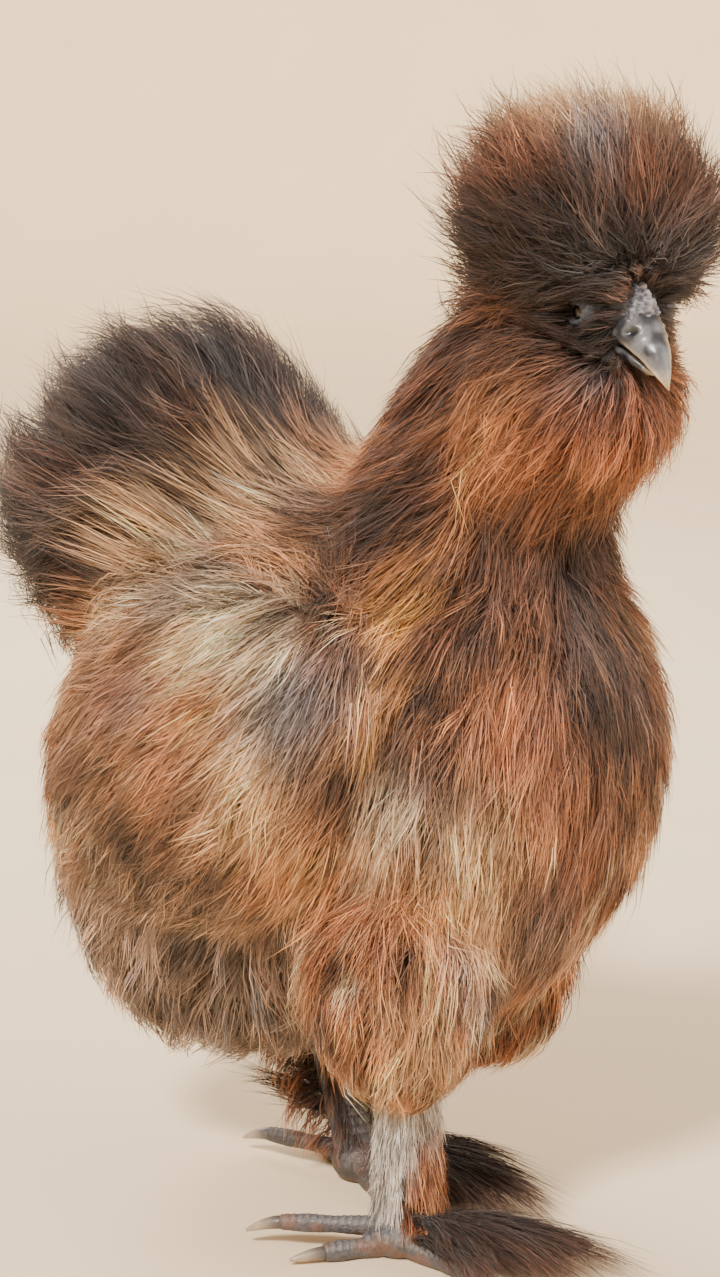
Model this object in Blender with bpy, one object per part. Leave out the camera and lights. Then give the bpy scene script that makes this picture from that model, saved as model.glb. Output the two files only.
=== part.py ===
"""A silkie hen standing in mid stride, life size, in metres, +Z up.

The hen faces -Y and her left side is +X. Each part of the body is its own closed object, with a gap
of GAP to its neighbours. At the end the whole hen is moved so that the middle of her bounding box's
underside is the origin.
"""

import math
import random

import bmesh
import bpy
from mathutils import Euler, Matrix, Vector
from mathutils.bvhtree import BVHTree

GAP = 0.0003
LOCK_GAP = 0.0005
COAT_GAP = 0.0012
ALMOST = 6e-7
ROUND = 16

# The feathered trunk at each station from breast to vent.
TRUNK_STATIONS = (
    # y, top z, bottom z, half breadth
    (-0.0690, 0.1850, 0.1200, 0.0280),
    (-0.0520, 0.2060, 0.0880, 0.0510),
    (-0.0240, 0.2200, 0.0640, 0.0650),
    (0.0100, 0.2280, 0.0500, 0.0700),
    (0.0480, 0.2340, 0.0380, 0.0710),
    (0.0820, 0.2240, 0.0290, 0.0700),
    (0.1080, 0.1880, 0.0330, 0.0570),
)
TRUNK_FRONT = Vector((0.0, -0.0775, 0.1540))
TRUNK_BACK = Vector((0.0, 0.1270, 0.1050))

# The neck with its hackles at each height: z, y of its middle, half breadth, half depth.
NECK_STATIONS = (
    (0.1640, 0.0020, 0.0580, 0.0540),
    (0.1970, -0.0140, 0.0510, 0.0490),
    (0.2215, -0.0220, 0.0420, 0.0400),
    (0.2420, -0.0270, 0.0360, 0.0350),
    (0.2610, -0.0350, 0.0320, 0.0300),
    (0.2760, -0.0470, 0.0280, 0.0260),
)
NECK_FOOT = Vector((0.0, 0.0060, 0.1450))
NECK_TOP = Vector((-0.002, -0.0540, 0.2900))

# Rounded masses of plumage: centre, radii, turn in degrees, and how much the far end narrows.
EGGS = {
    "crest": ((-0.0010, -0.0620, 0.3010), (0.0400, 0.0405, 0.0345), (8, 0, 0), 0.0),
    "beard": ((-0.0060, -0.0660, 0.2500), (0.0335, 0.0310, 0.0300), (12, 0, 0), 0.0),
    "tail": ((0.0000, 0.1090, 0.2120), (0.0530, 0.0690, 0.0575), (28, 0, 0), 0.0),
    "wing_right": ((-0.0550, 0.0360, 0.1460), (0.0260, 0.0690, 0.0510), (-20, 0, 2), 0.20),
    "wing_left": ((0.0550, 0.0360, 0.1460), (0.0260, 0.0690, 0.0510), (-20, 0, -2), 0.20),
    "thigh_right": ((-0.0340, -0.0230, 0.0820), (0.0290, 0.0310, 0.0380), (0, 0, 0), 0.0),
    "thigh_left": ((0.0350, 0.0090, 0.0720), (0.0300, 0.0340, 0.0380), (0, 0, 0), 0.0),
}

# The core under each coat, at most half way from the skin to the tips: how far the plumage's form is
# drawn in, or a rounded mass of its own as centre and radii.
CORES = {
    "torso": 0.0130,
    "neck": 0.0130,
    "wing_right": 0.0070,
    "wing_left": 0.0070,
    "thigh_right": 0.0090,
    "thigh_left": 0.0090,
    "crest": ((-0.0010, -0.0640, 0.2955), (0.0215, 0.0235, 0.0180)),
    "beard": ((-0.0050, -0.0630, 0.2545), (0.0190, 0.0190, 0.0175)),
    "tail": ((0.0000, 0.0940, 0.1980), (0.0290, 0.0350, 0.0320)),
}

# The coat's locks: room between roots, length and width.
COATS = {
    "torso": (0.0290, 0.056, 0.0270),
    "neck": (0.0190, 0.046, 0.0165),
    "crest": (0.0108, 0.036, 0.0134),
    "beard": (0.0118, 0.028, 0.0124),
    "tail": (0.0130, 0.060, 0.0185),
    "wing_right": (0.0250, 0.048, 0.0210),
    "wing_left": (0.0250, 0.048, 0.0210),
    "thigh_right": (0.0205, 0.031, 0.0172),
    "thigh_left": (0.0205, 0.031, 0.0172),
}
# The coats that lie over each coat.
LYING_OVER = {
    "torso": ("neck", "wing_right", "wing_left", "tail", "thigh_right", "thigh_left"),
    "neck": ("crest", "beard"),
    "beard": ("crest",),
    "wing_right": ("neck", "tail"),
    "wing_left": ("neck", "tail"),
    "thigh_right": ("wing_right",),
    "thigh_left": ("wing_left",),
    "shank_right": ("torso", "thigh_right"),
    "shank_left": ("torso", "thigh_left"),
}
# How a lock rises from the core to the plumage's form: shares of its length and of the room to rise,
# in a coat that lies along the body and in one that fans out.
LYING = ((0.0, 0.0), (0.28, 0.62), (0.62, 0.88), (1.0, 1.0))
FANNED = ((0.0, 0.0), (0.10, 0.74), (0.48, 0.97), (1.0, 1.0))
FANNED_COATS = ("crest", "beard", "tail")
LOW_TIER = 0.78
MOST_ROOM = 0.045
LOCK_SINK = 0.0050
SEED = 1
MOST_DRAWS = 150
# Where the crest, the beard and the tail fan out from.
CREST_POLE = Vector((-0.0080, -0.0900, 0.2780))
BEARD_POLE = Vector((-0.0080, -0.0890, 0.2640))
TAIL_POLE = Vector((0.0, 0.0500, 0.1780))
# The long plumes on each foot: their turn from the way the foot points, length and width.
PLUMES = ((-40, 0.046, 0.0100), (-22, 0.062, 0.0120), (-6, 0.078, 0.0125), (10, 0.086, 0.0110))
PLUME_Z = 0.0115
# The tufts down the outer side of each shank: height of the root and turn from straight out.
SHANK_TUFTS = ((0.052, -40), (0.050, 35), (0.043, 0), (0.036, -35), (0.034, 40), (0.028, 0))
SHANK_TUFT_LENGTH = 0.024
SHANK_TUFT_WIDTH = 0.0090

# The bare head, in its own frame: -Y ahead, +X to the hen's left, origin in the middle of the skull.
HEAD_YAW = math.radians(16)
HEAD_AT = Vector((-0.0035, -0.0690, 0.2760))
SKULL_RADII = (0.0135, 0.0190, 0.0165)
EYE_RADIUS = 0.0042
EYE_PLACE = (0.0108, -0.0095, -0.0005)
LID_THICKNESS = 0.0011
LID_OPENING = (0.0100, 0.0037, 0.0027)
EARLOBE_RADII = (0.0026, 0.0042, 0.0052)
EARLOBE_PLACE = (0.0128, 0.0080, -0.0055)

# The beak from the side, in the head's frame. Each station: how far ahead and how high the upper
# and the lower edge lie, and the half width.
UPPER_BEAK = (
    (0.0180, 0.0012, 0.0100, -0.0072, 0.0074),
    (0.0234, -0.0012, 0.0165, -0.0088, 0.0070),
    (0.0263, -0.0055, 0.0215, -0.0108, 0.0058),
    (0.0292, -0.0087, 0.0255, -0.0135, 0.0043),
    (0.0315, -0.0141, 0.0290, -0.0168, 0.0024),
)
UPPER_TIP = (0.0327, -0.0202)
LOWER_BEAK = (
    (0.0100, -0.0082, 0.0090, -0.0122, 0.0064),
    (0.0165, -0.0095, 0.0155, -0.0134, 0.0059),
    (0.0210, -0.0115, 0.0198, -0.0152, 0.0046),
    (0.0245, -0.0141, 0.0236, -0.0168, 0.0029),
)
LOWER_TIP = (0.0268, -0.0166)
NOSTRIL_AT = (0.0052, -0.0222, -0.0052)
NOSTRIL_RADII = (0.0016, 0.0019, 0.0007)

# The walnut comb, rows of three knobs: how high, how far ahead, half width and a knob's radius.
COMB_ROWS = (
    (-0.0024, 0.0212, 0.0047, 0.0025),
    (0.0004, 0.0212, 0.0037, 0.0026),
    (0.0032, 0.0208, 0.0021, 0.0022),
    (0.0055, 0.0206, 0.0008, 0.0016),
)

# Legs: where each foot stands, the way it points, and sizes.
FOOT_AT = {"right": Vector((-0.0285, -0.0175, 0.0)), "left": Vector((0.0100, 0.0370, 0.0))}
FOOT_HEADING = {"right": math.radians(38), "left": math.radians(8)}
HOCK_OFFSET = {"right": Vector((0.001, -0.002, 0.062)), "left": Vector((0.002, 0.024, 0.062))}
SHANK_FOOT_Z = 0.0100
SHANK_RADII = (0.0066, 0.0060, 0.0062, 0.0074)
PAD_RADII = (0.0088, 0.0095, 0.0072)
PAD_Z = 0.0060
# Each toe: its turn from the foot's heading, length, radius, rise of its end, height of its root.
TOES = {
    1: (205, 0.0230, 0.0033, 0.0000, 0.0030),
    2: (38, 0.0320, 0.0034, 0.0000, 0.0031),
    3: (0, 0.0410, 0.0036, 0.0000, 0.0033),
    4: (-42, 0.0350, 0.0034, 0.0000, 0.0031),
    5: (178, 0.0350, 0.0030, 0.0050, 0.0080),
}
TOE_SIDES = 8
CLAW_LENGTH = 0.0110
CLAW_RADIUS = 0.0020
CLAW_SIDES = 5


def clear_scene():
    for thing in list(bpy.data.objects):
        bpy.data.objects.remove(thing)


def new_material(name, colour, roughness):
    made = bpy.data.materials.new(name)
    made.use_nodes = True
    shader = made.node_tree.nodes["Principled BSDF"]
    shader.inputs["Base Color"].default_value = (*colour, 1.0)
    shader.inputs["Roughness"].default_value = roughness
    return made


def new_object(name, bm, collection):
    """The bmesh as an object of that collection."""
    bmesh.ops.recalc_face_normals(bm, faces=bm.faces)
    mesh = bpy.data.meshes.new(name)
    bm.to_mesh(mesh)
    bm.free()
    made = bpy.data.objects.new(name, mesh)
    collection.objects.link(made)
    return made


def loft(rings, first, last):
    """A closed skin through rings of equally many points, drawn to a point at each end."""
    bm = bmesh.new()
    rows = [[bm.verts.new(point) for point in ring] for ring in rings]
    for row, after in zip(rows, rows[1:]):
        for index in range(len(row)):
            follower = (index + 1) % len(row)
            bm.faces.new((row[index], row[follower], after[follower], after[index]))
    for row, tip in ((rows[0], first), (rows[-1], last)):
        point = bm.verts.new(tip)
        for index in range(len(row)):
            bm.faces.new((row[index], row[(index + 1) % len(row)], point))
    return bm


def ring_round(centre, across, deep, half_across, half_deep, sides=ROUND):
    """Points of an ellipse about centre, spanned by two unit vectors."""
    angles = [2 * math.pi * index / sides for index in range(sides)]
    return [
        centre + across * half_across * math.cos(a) + deep * half_deep * math.sin(a) for a in angles
    ]


def smooth_stations(stations, steps):
    """The stations with steps between each pair, on a Catmull-Rom curve through the numbers."""
    before = [2 * a - b for a, b in zip(stations[0], stations[1])]
    after = [2 * a - b for a, b in zip(stations[-1], stations[-2])]
    line = [before, *stations, after]
    made = []
    for index in range(1, len(line) - 2):
        for step in range(steps):
            t = step / steps
            weights = (
                -0.5 * t + t * t - 0.5 * t**3,
                1 - 2.5 * t * t + 1.5 * t**3,
                0.5 * t + 2 * t * t - 1.5 * t**3,
                -0.5 * t * t + 0.5 * t**3,
            )
            near = line[index - 1 : index + 3]
            made.append(tuple(sum(w * n for w, n in zip(weights, column)) for column in zip(*near)))
    return [*made, stations[-1]]


def trunk_form(grow=0.0):
    """The feathered trunk, its ends drawn in to the breast and the vent."""
    across, up = Vector((1, 0, 0)), Vector((0, 0, 1))
    rings = []
    for y, top, bottom, half_breadth in smooth_stations(TRUNK_STATIONS, 2):
        centre = Vector((0, y, (top + bottom) / 2))
        half_height = (top - bottom) / 2 + grow
        rings.append(ring_round(centre, across, up, half_breadth + grow, half_height))
    push = Vector((0, grow, 0))
    return loft(rings, TRUNK_FRONT - push, TRUNK_BACK + push)


def neck_form(grow=0.0):
    """The neck, from inside the shoulders up into the head."""
    across, deep = Vector((1, 0, 0)), Vector((0, 1, 0))
    rings = []
    for z, y, half_breadth, half_depth in smooth_stations(NECK_STATIONS, 2):
        centre = Vector((0, y, z))
        rings.append(ring_round(centre, across, deep, half_breadth + grow, half_depth + grow))
    push = Vector((0, 0, grow))
    return loft(rings, NECK_FOOT - push, NECK_TOP + push)


def egg_form(name, grow=0.0, fine=3):
    """One rounded mass, from a sphere stretched to its radii and narrowed towards its far end."""
    centre, radii, turn, taper = EGGS[name]
    bm = bmesh.new()
    bmesh.ops.create_icosphere(bm, subdivisions=fine, radius=1.0)
    rotation = Euler([math.radians(a) for a in turn]).to_matrix()
    for vert in bm.verts:
        narrow = 1 - taper * vert.co.y
        x = vert.co.x * (narrow * radii[0] + grow)
        y = vert.co.y * (radii[1] + grow)
        z = vert.co.z * (narrow * radii[2] + grow)
        vert.co = rotation @ Vector((x, y, z)) + Vector(centre)
    return bm


def head_matrix():
    """The head's own frame, placed in the world."""
    return Matrix.Translation(HEAD_AT) @ Matrix.Rotation(-HEAD_YAW, 4, "Z")


def ball(centre, radii, matrix=None, segments=12, rings=8):
    """An ellipsoid about centre in the frame that matrix gives.

    It is lofted, because the sphere primitive numbers its points in another order each run.
    """
    place = (matrix or Matrix.Identity(4)) @ Matrix.Translation(centre) @ Matrix.Diagonal((*radii, 1.0))
    across, deep = Vector((1, 0, 0)), Vector((0, 1, 0))
    hoops = []
    for index in range(1, rings):
        polar = math.pi * index / rings
        middle = Vector((0, 0, math.cos(polar)))
        hoop = ring_round(middle, across, deep, math.sin(polar), math.sin(polar), segments)
        hoops.append([place @ point for point in hoop])
    return loft(hoops, place @ Vector((0, 0, 1)), place @ Vector((0, 0, -1)))


def grown(radii, grow):
    return tuple(radius + grow for radius in radii)


def mirrored(place, side):
    return Vector((place[0] * side, place[1], place[2]))


def head_forms(grow=0.0):
    """The skull, with a lid swelling over each eye."""
    matrix = head_matrix()
    shapes = [ball((0, 0, 0), grown(SKULL_RADII, grow), matrix, 20, 13)]
    lid = EYE_RADIUS + GAP + LID_THICKNESS + grow
    for side in (1, -1):
        shapes.append(ball(mirrored(EYE_PLACE, side), (lid,) * 3, matrix))
    return shapes


def lid_opening(side):
    """The almond between the lids, cut out through them."""
    place = mirrored(EYE_PLACE, side) + Vector((LID_OPENING[0] * side * 0.75, 0, 0))
    return ball(place, LID_OPENING, head_matrix())


def eye_forms(side, grow=0.0):
    return [ball(mirrored(EYE_PLACE, side), (EYE_RADIUS + grow,) * 3, head_matrix())]


def earlobe_forms(side, grow=0.0):
    return [ball(mirrored(EARLOBE_PLACE, side), grown(EARLOBE_RADII, grow), head_matrix(), 10, 6)]


def mandible(stations, tip, ridge, grow=0.0, sides=12):
    """One half of the beak, widest along the mouth's line and drawn in to a ridge, 1 up or -1 down."""
    matrix = head_matrix()
    rings = []
    for ahead, high, ahead_low, low, half_width in smooth_stations(stations, 2):
        upper, lower = Vector((0, -ahead, high)), Vector((0, -ahead_low, low))
        middle, half = (upper + lower) / 2, (upper - lower) / 2
        half += half.normalized() * grow
        ring = []
        for index in range(sides):
            angle = 2 * math.pi * index / sides
            rise = math.sin(angle)
            height = ridge * (2 * ((1 + ridge * rise) / 2) ** 1.8 - 1)
            across = (half_width + grow) * math.cos(angle)
            ring.append(matrix @ (middle + half * height + Vector((across, 0, 0))))
        rings.append(ring)
    root = sum(rings[0], Vector()) / sides
    end = Vector((0, -tip[0] - grow, tip[1] - grow))
    return loft(rings, root, matrix @ end)


def nostril(side):
    return ball(mirrored(NOSTRIL_AT, side), NOSTRIL_RADII, head_matrix(), 10, 6)


def comb_forms(grow=0.0):
    """Knobs in rows up the forehead, from the beak's root."""
    matrix = head_matrix()
    shapes = []
    for up, ahead, half_width, radius in COMB_ROWS:
        for spot in (-1, 0, 1):
            place = Vector((spot * half_width, 0.0012 * abs(spot) - ahead, up))
            size = radius * (1.0 if spot else 1.15) + grow
            shapes.append(ball(place, (size, size, size * 0.85), matrix, 7, 4))
    return shapes


def tube(points, radii, sides=TOE_SIDES):
    """A tapering tube along the points, its two ends closed by flat faces."""
    rings = []
    for index, point in enumerate(points):
        before = points[max(index - 1, 0)]
        after = points[min(index + 1, len(points) - 1)]
        along = (after - before).normalized()
        across = along.cross(Vector((0, 0, 1)))
        across = across.normalized() if across.length > 1e-4 else Vector((1, 0, 0))
        rings.append(ring_round(point, across, across.cross(along), radii[index], radii[index], sides))
    return loft(rings, points[0], points[-1])


def direction(side, degrees=0.0):
    """The unit vector on the floor at that angle from the way the foot points, inward positive."""
    inward = 1 if side == "right" else -1
    angle = FOOT_HEADING[side] + inward * math.radians(degrees)
    return Vector((math.sin(angle), -math.cos(angle), 0))


def pad_forms(side, grow=0.0):
    matrix = Matrix.Translation(FOOT_AT[side]) @ Matrix.Rotation(FOOT_HEADING[side], 4, "Z")
    return [ball(Vector((0, 0, PAD_Z)), grown(PAD_RADII, grow), matrix, 14, 8)]


def shank_forms(side, grow=0.0):
    """The scaled shank, leaning back from the foot to the hock."""
    foot = FOOT_AT[side] + Vector((0, 0.002, SHANK_FOOT_Z))
    hock = FOOT_AT[side] + HOCK_OFFSET[side]
    count = len(SHANK_RADII)
    points = [foot.lerp(hock, index / (count - 1)) for index in range(count)]
    return [tube(points, grown(SHANK_RADII, grow), 12)]


def toe_line(side, number):
    """Where the toe starts, its end, and the unit vector along it."""
    degrees, length, radius, rise, root_z = TOES[number]
    ahead = direction(side, degrees)
    start = FOOT_AT[side] + ahead * 0.003 + Vector((0, 0, root_z))
    end = FOOT_AT[side] + ahead * length + Vector((0, 0, radius * 0.86 + rise))
    return start, end, (end - start).normalized()


def toe_forms(side, number, grow=0.0):
    """A toe with swollen joints, its end cut square where the claw grows."""
    start, end, along = toe_line(side, number)
    radius = TOES[number][2]
    swell = (1.0, 1.02, 0.86, 0.96, 0.80)
    last = len(swell) - 1
    points = [start.lerp(end, index / last) for index in range(last + 1)]
    points[0] -= along * grow
    points[-1] += along * grow
    return [tube(points, [radius * share + grow for share in swell])]


def claw_forms(side, number, grow=0.0):
    """A curved claw, GAP beyond the toe's square end, its tip just clear of the floor."""
    _, end, along = toe_line(side, number)
    flat = Vector((along.x, along.y, 0)).normalized()
    base = end + along * GAP
    drop = end.z - 0.0022 - TOES[number][3] * 0.5
    points = []
    for share in (0.0, 0.3, 0.6, 0.85):
        down = drop * share**1.7
        points.append(base + flat * CLAW_LENGTH * share - Vector((0, 0, down)))
    radii = [CLAW_RADIUS * (1 - 0.88 * share**1.2) + grow for share in (0.0, 0.3, 0.6, 0.85)]
    points[0] -= along * grow
    return [tube(points, radii, CLAW_SIDES)]


def combine(target, others, operation):
    """Joins target with the other closed meshes, or cuts it with them, and removes them."""
    if not others:
        return
    group = bpy.data.collections.new("pieces")
    bpy.context.scene.collection.children.link(group)
    for other in others:
        group.objects.link(other)
    modifier = target.modifiers.new(operation.lower(), "BOOLEAN")
    modifier.operation = operation
    modifier.operand_type = "COLLECTION"
    modifier.collection = group
    modifier.solver = "MANIFOLD"
    bpy.context.view_layer.update()
    graph = bpy.context.evaluated_depsgraph_get()
    mesh = bpy.data.meshes.new_from_object(target.evaluated_get(graph))
    target.modifiers.clear()
    target.data = mesh
    rework(mesh, drop_idle_points)
    rework(mesh, split_faces)
    for other in others:
        bpy.data.objects.remove(other)
    bpy.data.collections.remove(group)


def rework(mesh, change):
    """Applies a change to the mesh as a bmesh."""
    bm = bmesh.new()
    bm.from_mesh(mesh)
    change(bm)
    bm.to_mesh(mesh)
    bm.free()


def drop_idle_points(bm):
    """Removes the points along an edge that no third face meets, which would make flat triangles."""
    idle = [vert for vert in bm.verts if len(vert.link_edges) == 2]
    bmesh.ops.dissolve_verts(bm, verts=idle)


def turn(a, b, c, normal):
    """Twice the area of the triangle through three points, negative where it turns the wrong way."""
    return (b.co - a.co).cross(c.co - b.co).dot(normal)


def best_ear(bm, ring, normal, strict):
    """The corner that cuts off the roundest triangle holding no other point of the ring."""
    best, found = 0.0, None
    for index, tip in enumerate(ring):
        before, after = ring[index - 1], ring[(index + 1) % len(ring)]
        area = turn(before, tip, after, normal)
        sides = (tip.co - before.co, after.co - tip.co, before.co - after.co)
        longest = max(side.length for side in sides)
        shape = area / max(longest, 1e-9) ** 2
        if shape <= best or (strict and bm.edges.get((before, after))):
            continue
        corners = (before, tip, after)
        others = [vert for vert in ring if vert not in corners]
        if any(
            turn(before, tip, vert, normal) >= 0
            and turn(tip, after, vert, normal) >= 0
            and turn(after, before, vert, normal) >= 0
            for vert in others
        ):
            continue
        best, found = shape, index
    return found


def add_face(bm, corners):
    if not bm.faces.get(corners):
        bm.faces.new(corners)


def split_faces(bm):
    """Cuts every face into triangles, drawing no new line where the mesh already has one."""
    for face in [face for face in bm.faces if len(face.verts) > 3]:
        ring, normal = list(face.verts), face.normal.copy()
        bm.faces.remove(face)
        while len(ring) > 3:
            index = best_ear(bm, ring, normal, True)
            if index is None:
                index = best_ear(bm, ring, normal, False) or 0
            add_face(bm, (ring[index - 1], ring[index], ring[(index + 1) % len(ring)]))
            ring.pop(index)
        add_face(bm, ring)
    bm.normal_update()


def closed(mesh):
    """Whether each edge has its two faces, also once points that almost touch are one."""
    bm = bmesh.new()
    bm.from_mesh(mesh)
    bmesh.ops.remove_doubles(bm, verts=bm.verts, dist=ALMOST)
    whole = all(len(edge.link_faces) == 2 for edge in bm.edges)
    bm.free()
    return whole


def keep_largest(bm):
    """Leaves the largest closed surface and deletes the scraps."""
    left, islands = set(bm.faces), []
    while left:
        island, edge = [], [left.pop()]
        while edge:
            face = edge.pop()
            island.append(face)
            near = {other for line in face.edges for other in line.link_faces} & left
            left -= near
            edge.extend(near)
        islands.append(island)
    islands.sort(key=len)
    scraps = [face for island in islands[:-1] for face in island]
    bmesh.ops.delete(bm, geom=scraps, context="FACES")


def helper(bm):
    """A cutter or a piece to join: an object kept out of the render until combine removes it."""
    made = new_object("helper", bm, CUTTERS)
    made.hide_render = True
    return made


def below_floor():
    """A block under the floor, to cut flat what rests on it."""
    bm = bmesh.new()
    bmesh.ops.create_cube(bm, size=0.5)
    bmesh.ops.translate(bm, verts=bm.verts, vec=(0, 0, -0.25))
    return bm


def box_of(bm):
    corners = [vert.co for vert in bm.verts]
    low = [min(corner[axis] for corner in corners) for axis in range(3)]
    high = [max(corner[axis] for corner in corners) for axis in range(3)]
    return low, high


def apart(one, other):
    """Whether two boxes lie clear of each other."""
    return any(one[1][axis] < other[0][axis] or other[1][axis] < one[0][axis] for axis in range(3))


def eye_hollow(side):
    """A slanting hollow from each eye out to the open, for the plumage to leave the eye free."""
    matrix = head_matrix()
    start = mirrored(EYE_PLACE, side)
    end = start + Vector((0.030 * side, -0.024, -0.003))
    points = [matrix @ start.lerp(end, t) for t in (0.0, 0.35, 0.7, 1.0)]
    return tube(points, (0.0050, 0.0054, 0.0062, 0.0070))


def face_tools(grow):
    """The room that the plumage leaves about the eyes, the beak and the comb."""
    face = ball(Vector((0, -0.0240, -0.0060)), grown((0.0100, 0.0170, 0.0150), grow), head_matrix())
    return [eye_hollow(1), eye_hollow(-1), face]


def core_forms(name, grow=0.0):
    """The core under a coat."""
    core = CORES[name]
    if isinstance(core, tuple):
        return [ball(core[0], grown(core[1], grow), None, 18, 12)]
    return FORMS[name](grow - core)


def blend(low, high, value):
    """How far value has come from low to high, eased at both ends."""
    share = min(max((value - low) / (high - low), 0.0), 1.0)
    return share * share * (3 - 2 * share)


def lie_of(name, place):
    """The way the coat lies at a place, before it is laid flat on the surface."""
    if name == "crest":
        return place - CREST_POLE
    if name == "beard":
        return (place - BEARD_POLE).normalized() + Vector((0, 0, -0.5))
    if name == "tail":
        return place - TAIL_POLE
    if name == "neck":
        return Vector((place.x * 5, 0.30, -1.0))
    if name == "torso":
        back = blend(-0.06, 0.04, place.y)
        return Vector((place.x * 3 * (1 - back), 0.15 + 0.85 * back, 0.25 * back - 1.0))
    if name.startswith("wing"):
        return Vector((0, 1.0, -0.5))
    return Vector((0, 0.15, -1.0))


def tree_of(shapes):
    """One search tree over the closed shapes."""
    whole = bmesh.new()
    for shape in shapes:
        mesh = bpy.data.meshes.new("tree")
        shape.to_mesh(mesh)
        whole.from_mesh(mesh)
        bpy.data.meshes.remove(mesh)
        shape.free()
    bmesh.ops.triangulate(whole, faces=whole.faces)
    bmesh.ops.recalc_face_normals(whole, faces=whole.faces)
    tree = BVHTree.FromBMesh(whole)
    whole.free()
    return tree


def inside(tree, place):
    """Whether a place lies inside the closed shapes of a tree."""
    hits, start = 0, place
    while True:
        spot, _, _, _ = tree.ray_cast(start, Vector((0.02, 0.03, 1.0)).normalized())
        if spot is None:
            return hits % 2 == 1
        hits += 1
        start = spot + Vector((0.02, 0.03, 1.0)).normalized() * 1e-5


def spread(shapes, spacing, draw):
    """Places and outward normals on the shapes, at least spacing apart."""
    corners = []
    for shape in shapes:
        bmesh.ops.recalc_face_normals(shape, faces=shape.faces)
        bmesh.ops.triangulate(shape, faces=shape.faces)
        for face in shape.faces:
            corners.append(([vert.co.copy() for vert in face.verts], face.normal.copy()))
        shape.free()
    sizes = [(b - a).cross(c - a).length for (a, b, c), _ in corners]
    kept = []
    for (a, b, c), normal in draw.choices(corners, sizes, k=2500):
        u, v = draw.random(), draw.random()
        if u + v > 1:
            u, v = 1 - u, 1 - v
        place = a + (b - a) * u + (c - a) * v
        if all((place - other).length > spacing for other, _ in kept):
            kept.append((place, normal))
    return kept


def lock(points, out, widths, thicknesses):
    """A flat lock with a ridge down its outer face, out being the way that face looks.

    It tapers to a point at the last of its points. None is made where it would fold into itself.
    """
    breadth = out.cross(points[-1] - points[0])
    rings, middles, ways = [], points[:-1], []
    for index, middle in enumerate(middles):
        along = (points[index + 1] - points[max(index - 1, 0)]).normalized()
        across = (breadth - along * breadth.dot(along)).normalized()
        half = across * widths[index] / 2
        ridge = along.cross(across) * thicknesses[index]
        rings.append([middle + half, middle + ridge, middle - half])
        ways.append(along)
    for index in range(len(rings) - 1):
        ahead = [(point - middles[index]).dot(ways[index]) for point in rings[index + 1]]
        behind = [(middles[index + 1] - point).dot(ways[index + 1]) for point in rings[index]]
        if min(ahead + behind) < 0.0005:
            return None
    bm = bmesh.new()
    rows = [[bm.verts.new(point) for point in ring] for ring in rings]
    bm.faces.new(rows[0][::-1])
    for row, after in zip(rows, rows[1:]):
        for index in range(3):
            follower = (index + 1) % 3
            bm.faces.new((row[index], row[follower], after[follower], after[index]))
    tip = bm.verts.new(points[-1])
    for index in range(3):
        bm.faces.new((rows[-1][index], rows[-1][(index + 1) % 3], tip))
    return bm


def coat_locks(name, attempt):
    """The locks of one coat, each rooted in the core and laid along it out to the plumage's form."""
    spacing, length, width = COATS[name]
    draw = random.Random(f"{name} {SEED} {attempt}")
    core = tree_of(core_forms(name))
    tips = tree_of(FORMS[name](0.0))
    hidden = [tree_of(FORMS[other](0.0)) for other in LYING_OVER.get(name, ())]
    hidden += [tree_of(core_forms(other)) for other in CORES if other != name]
    hidden.append(tree_of(face_tools(0.0)))
    shape = FANNED if name in FANNED_COATS else LYING
    locks = []
    for root, normal in spread(core_forms(name), spacing, draw):
        if any(inside(tree, root) for tree in hidden) or not inside(tips, root):
            continue
        heading = lie_of(name, root).normalized()
        sway = draw.uniform(-0.35, 0.35)
        reach = length * draw.uniform(0.85, 1.15)
        broad = width * draw.uniform(0.85, 1.15)
        tier = draw.choice((1.0, 1.0, LOW_TIER)) * draw.uniform(0.94, 1.0)
        place, before = root, 0.0
        points, faces_out = [root - normal * LOCK_SINK], normal
        for share, lift in shape[1:]:
            along = heading - normal * heading.dot(normal)
            if along.length < 0.2:
                along = normal.orthogonal()
            along = (along.normalized() + normal.cross(along).normalized() * sway).normalized()
            stride = reach * (share - before)
            place, normal, _, _ = core.find_nearest(place + along * stride)
            before = share
            ceiling, _, _, room = tips.ray_cast(place, normal)
            room = min(room if ceiling else 0.004, MOST_ROOM)
            points.append(place + normal * (room - 0.28 * broad * (1 - share)) * lift * tier)
            faces_out = (faces_out + normal) / 2
        widths = (broad * 0.75, broad, broad * 0.72)
        thicknesses = (broad * 0.34, broad * 0.28, broad * 0.18)
        locks.append(lock(points, faces_out, widths, thicknesses))
    return [made for made in locks if made]


def plume_locks(side, attempt):
    """The long feathers of a foot, laid over its toes and clear of them."""
    inward = 1 if side == "right" else -1
    draw = random.Random(f"plumes {side} {SEED} {attempt}")
    plumes = []
    for degrees, length, width in PLUMES:
        points = []
        for share, height in ((0.0, 0.5), (0.2, 1.0), (0.6, 0.92), (1.0, 0.62)):
            turn = degrees + draw.uniform(-2, 2) - 14 * share * share * inward
            spot = FOOT_AT[side] + direction(side, turn) * length * share
            points.append(spot + Vector((0, 0, PLUME_Z * height)))
        widths = (width * 0.8, width, width * 0.7)
        plumes.append(lock(points, Vector((0, 0, 1)), widths, (0.0022, 0.0020, 0.0014)))
    return plumes


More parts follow.
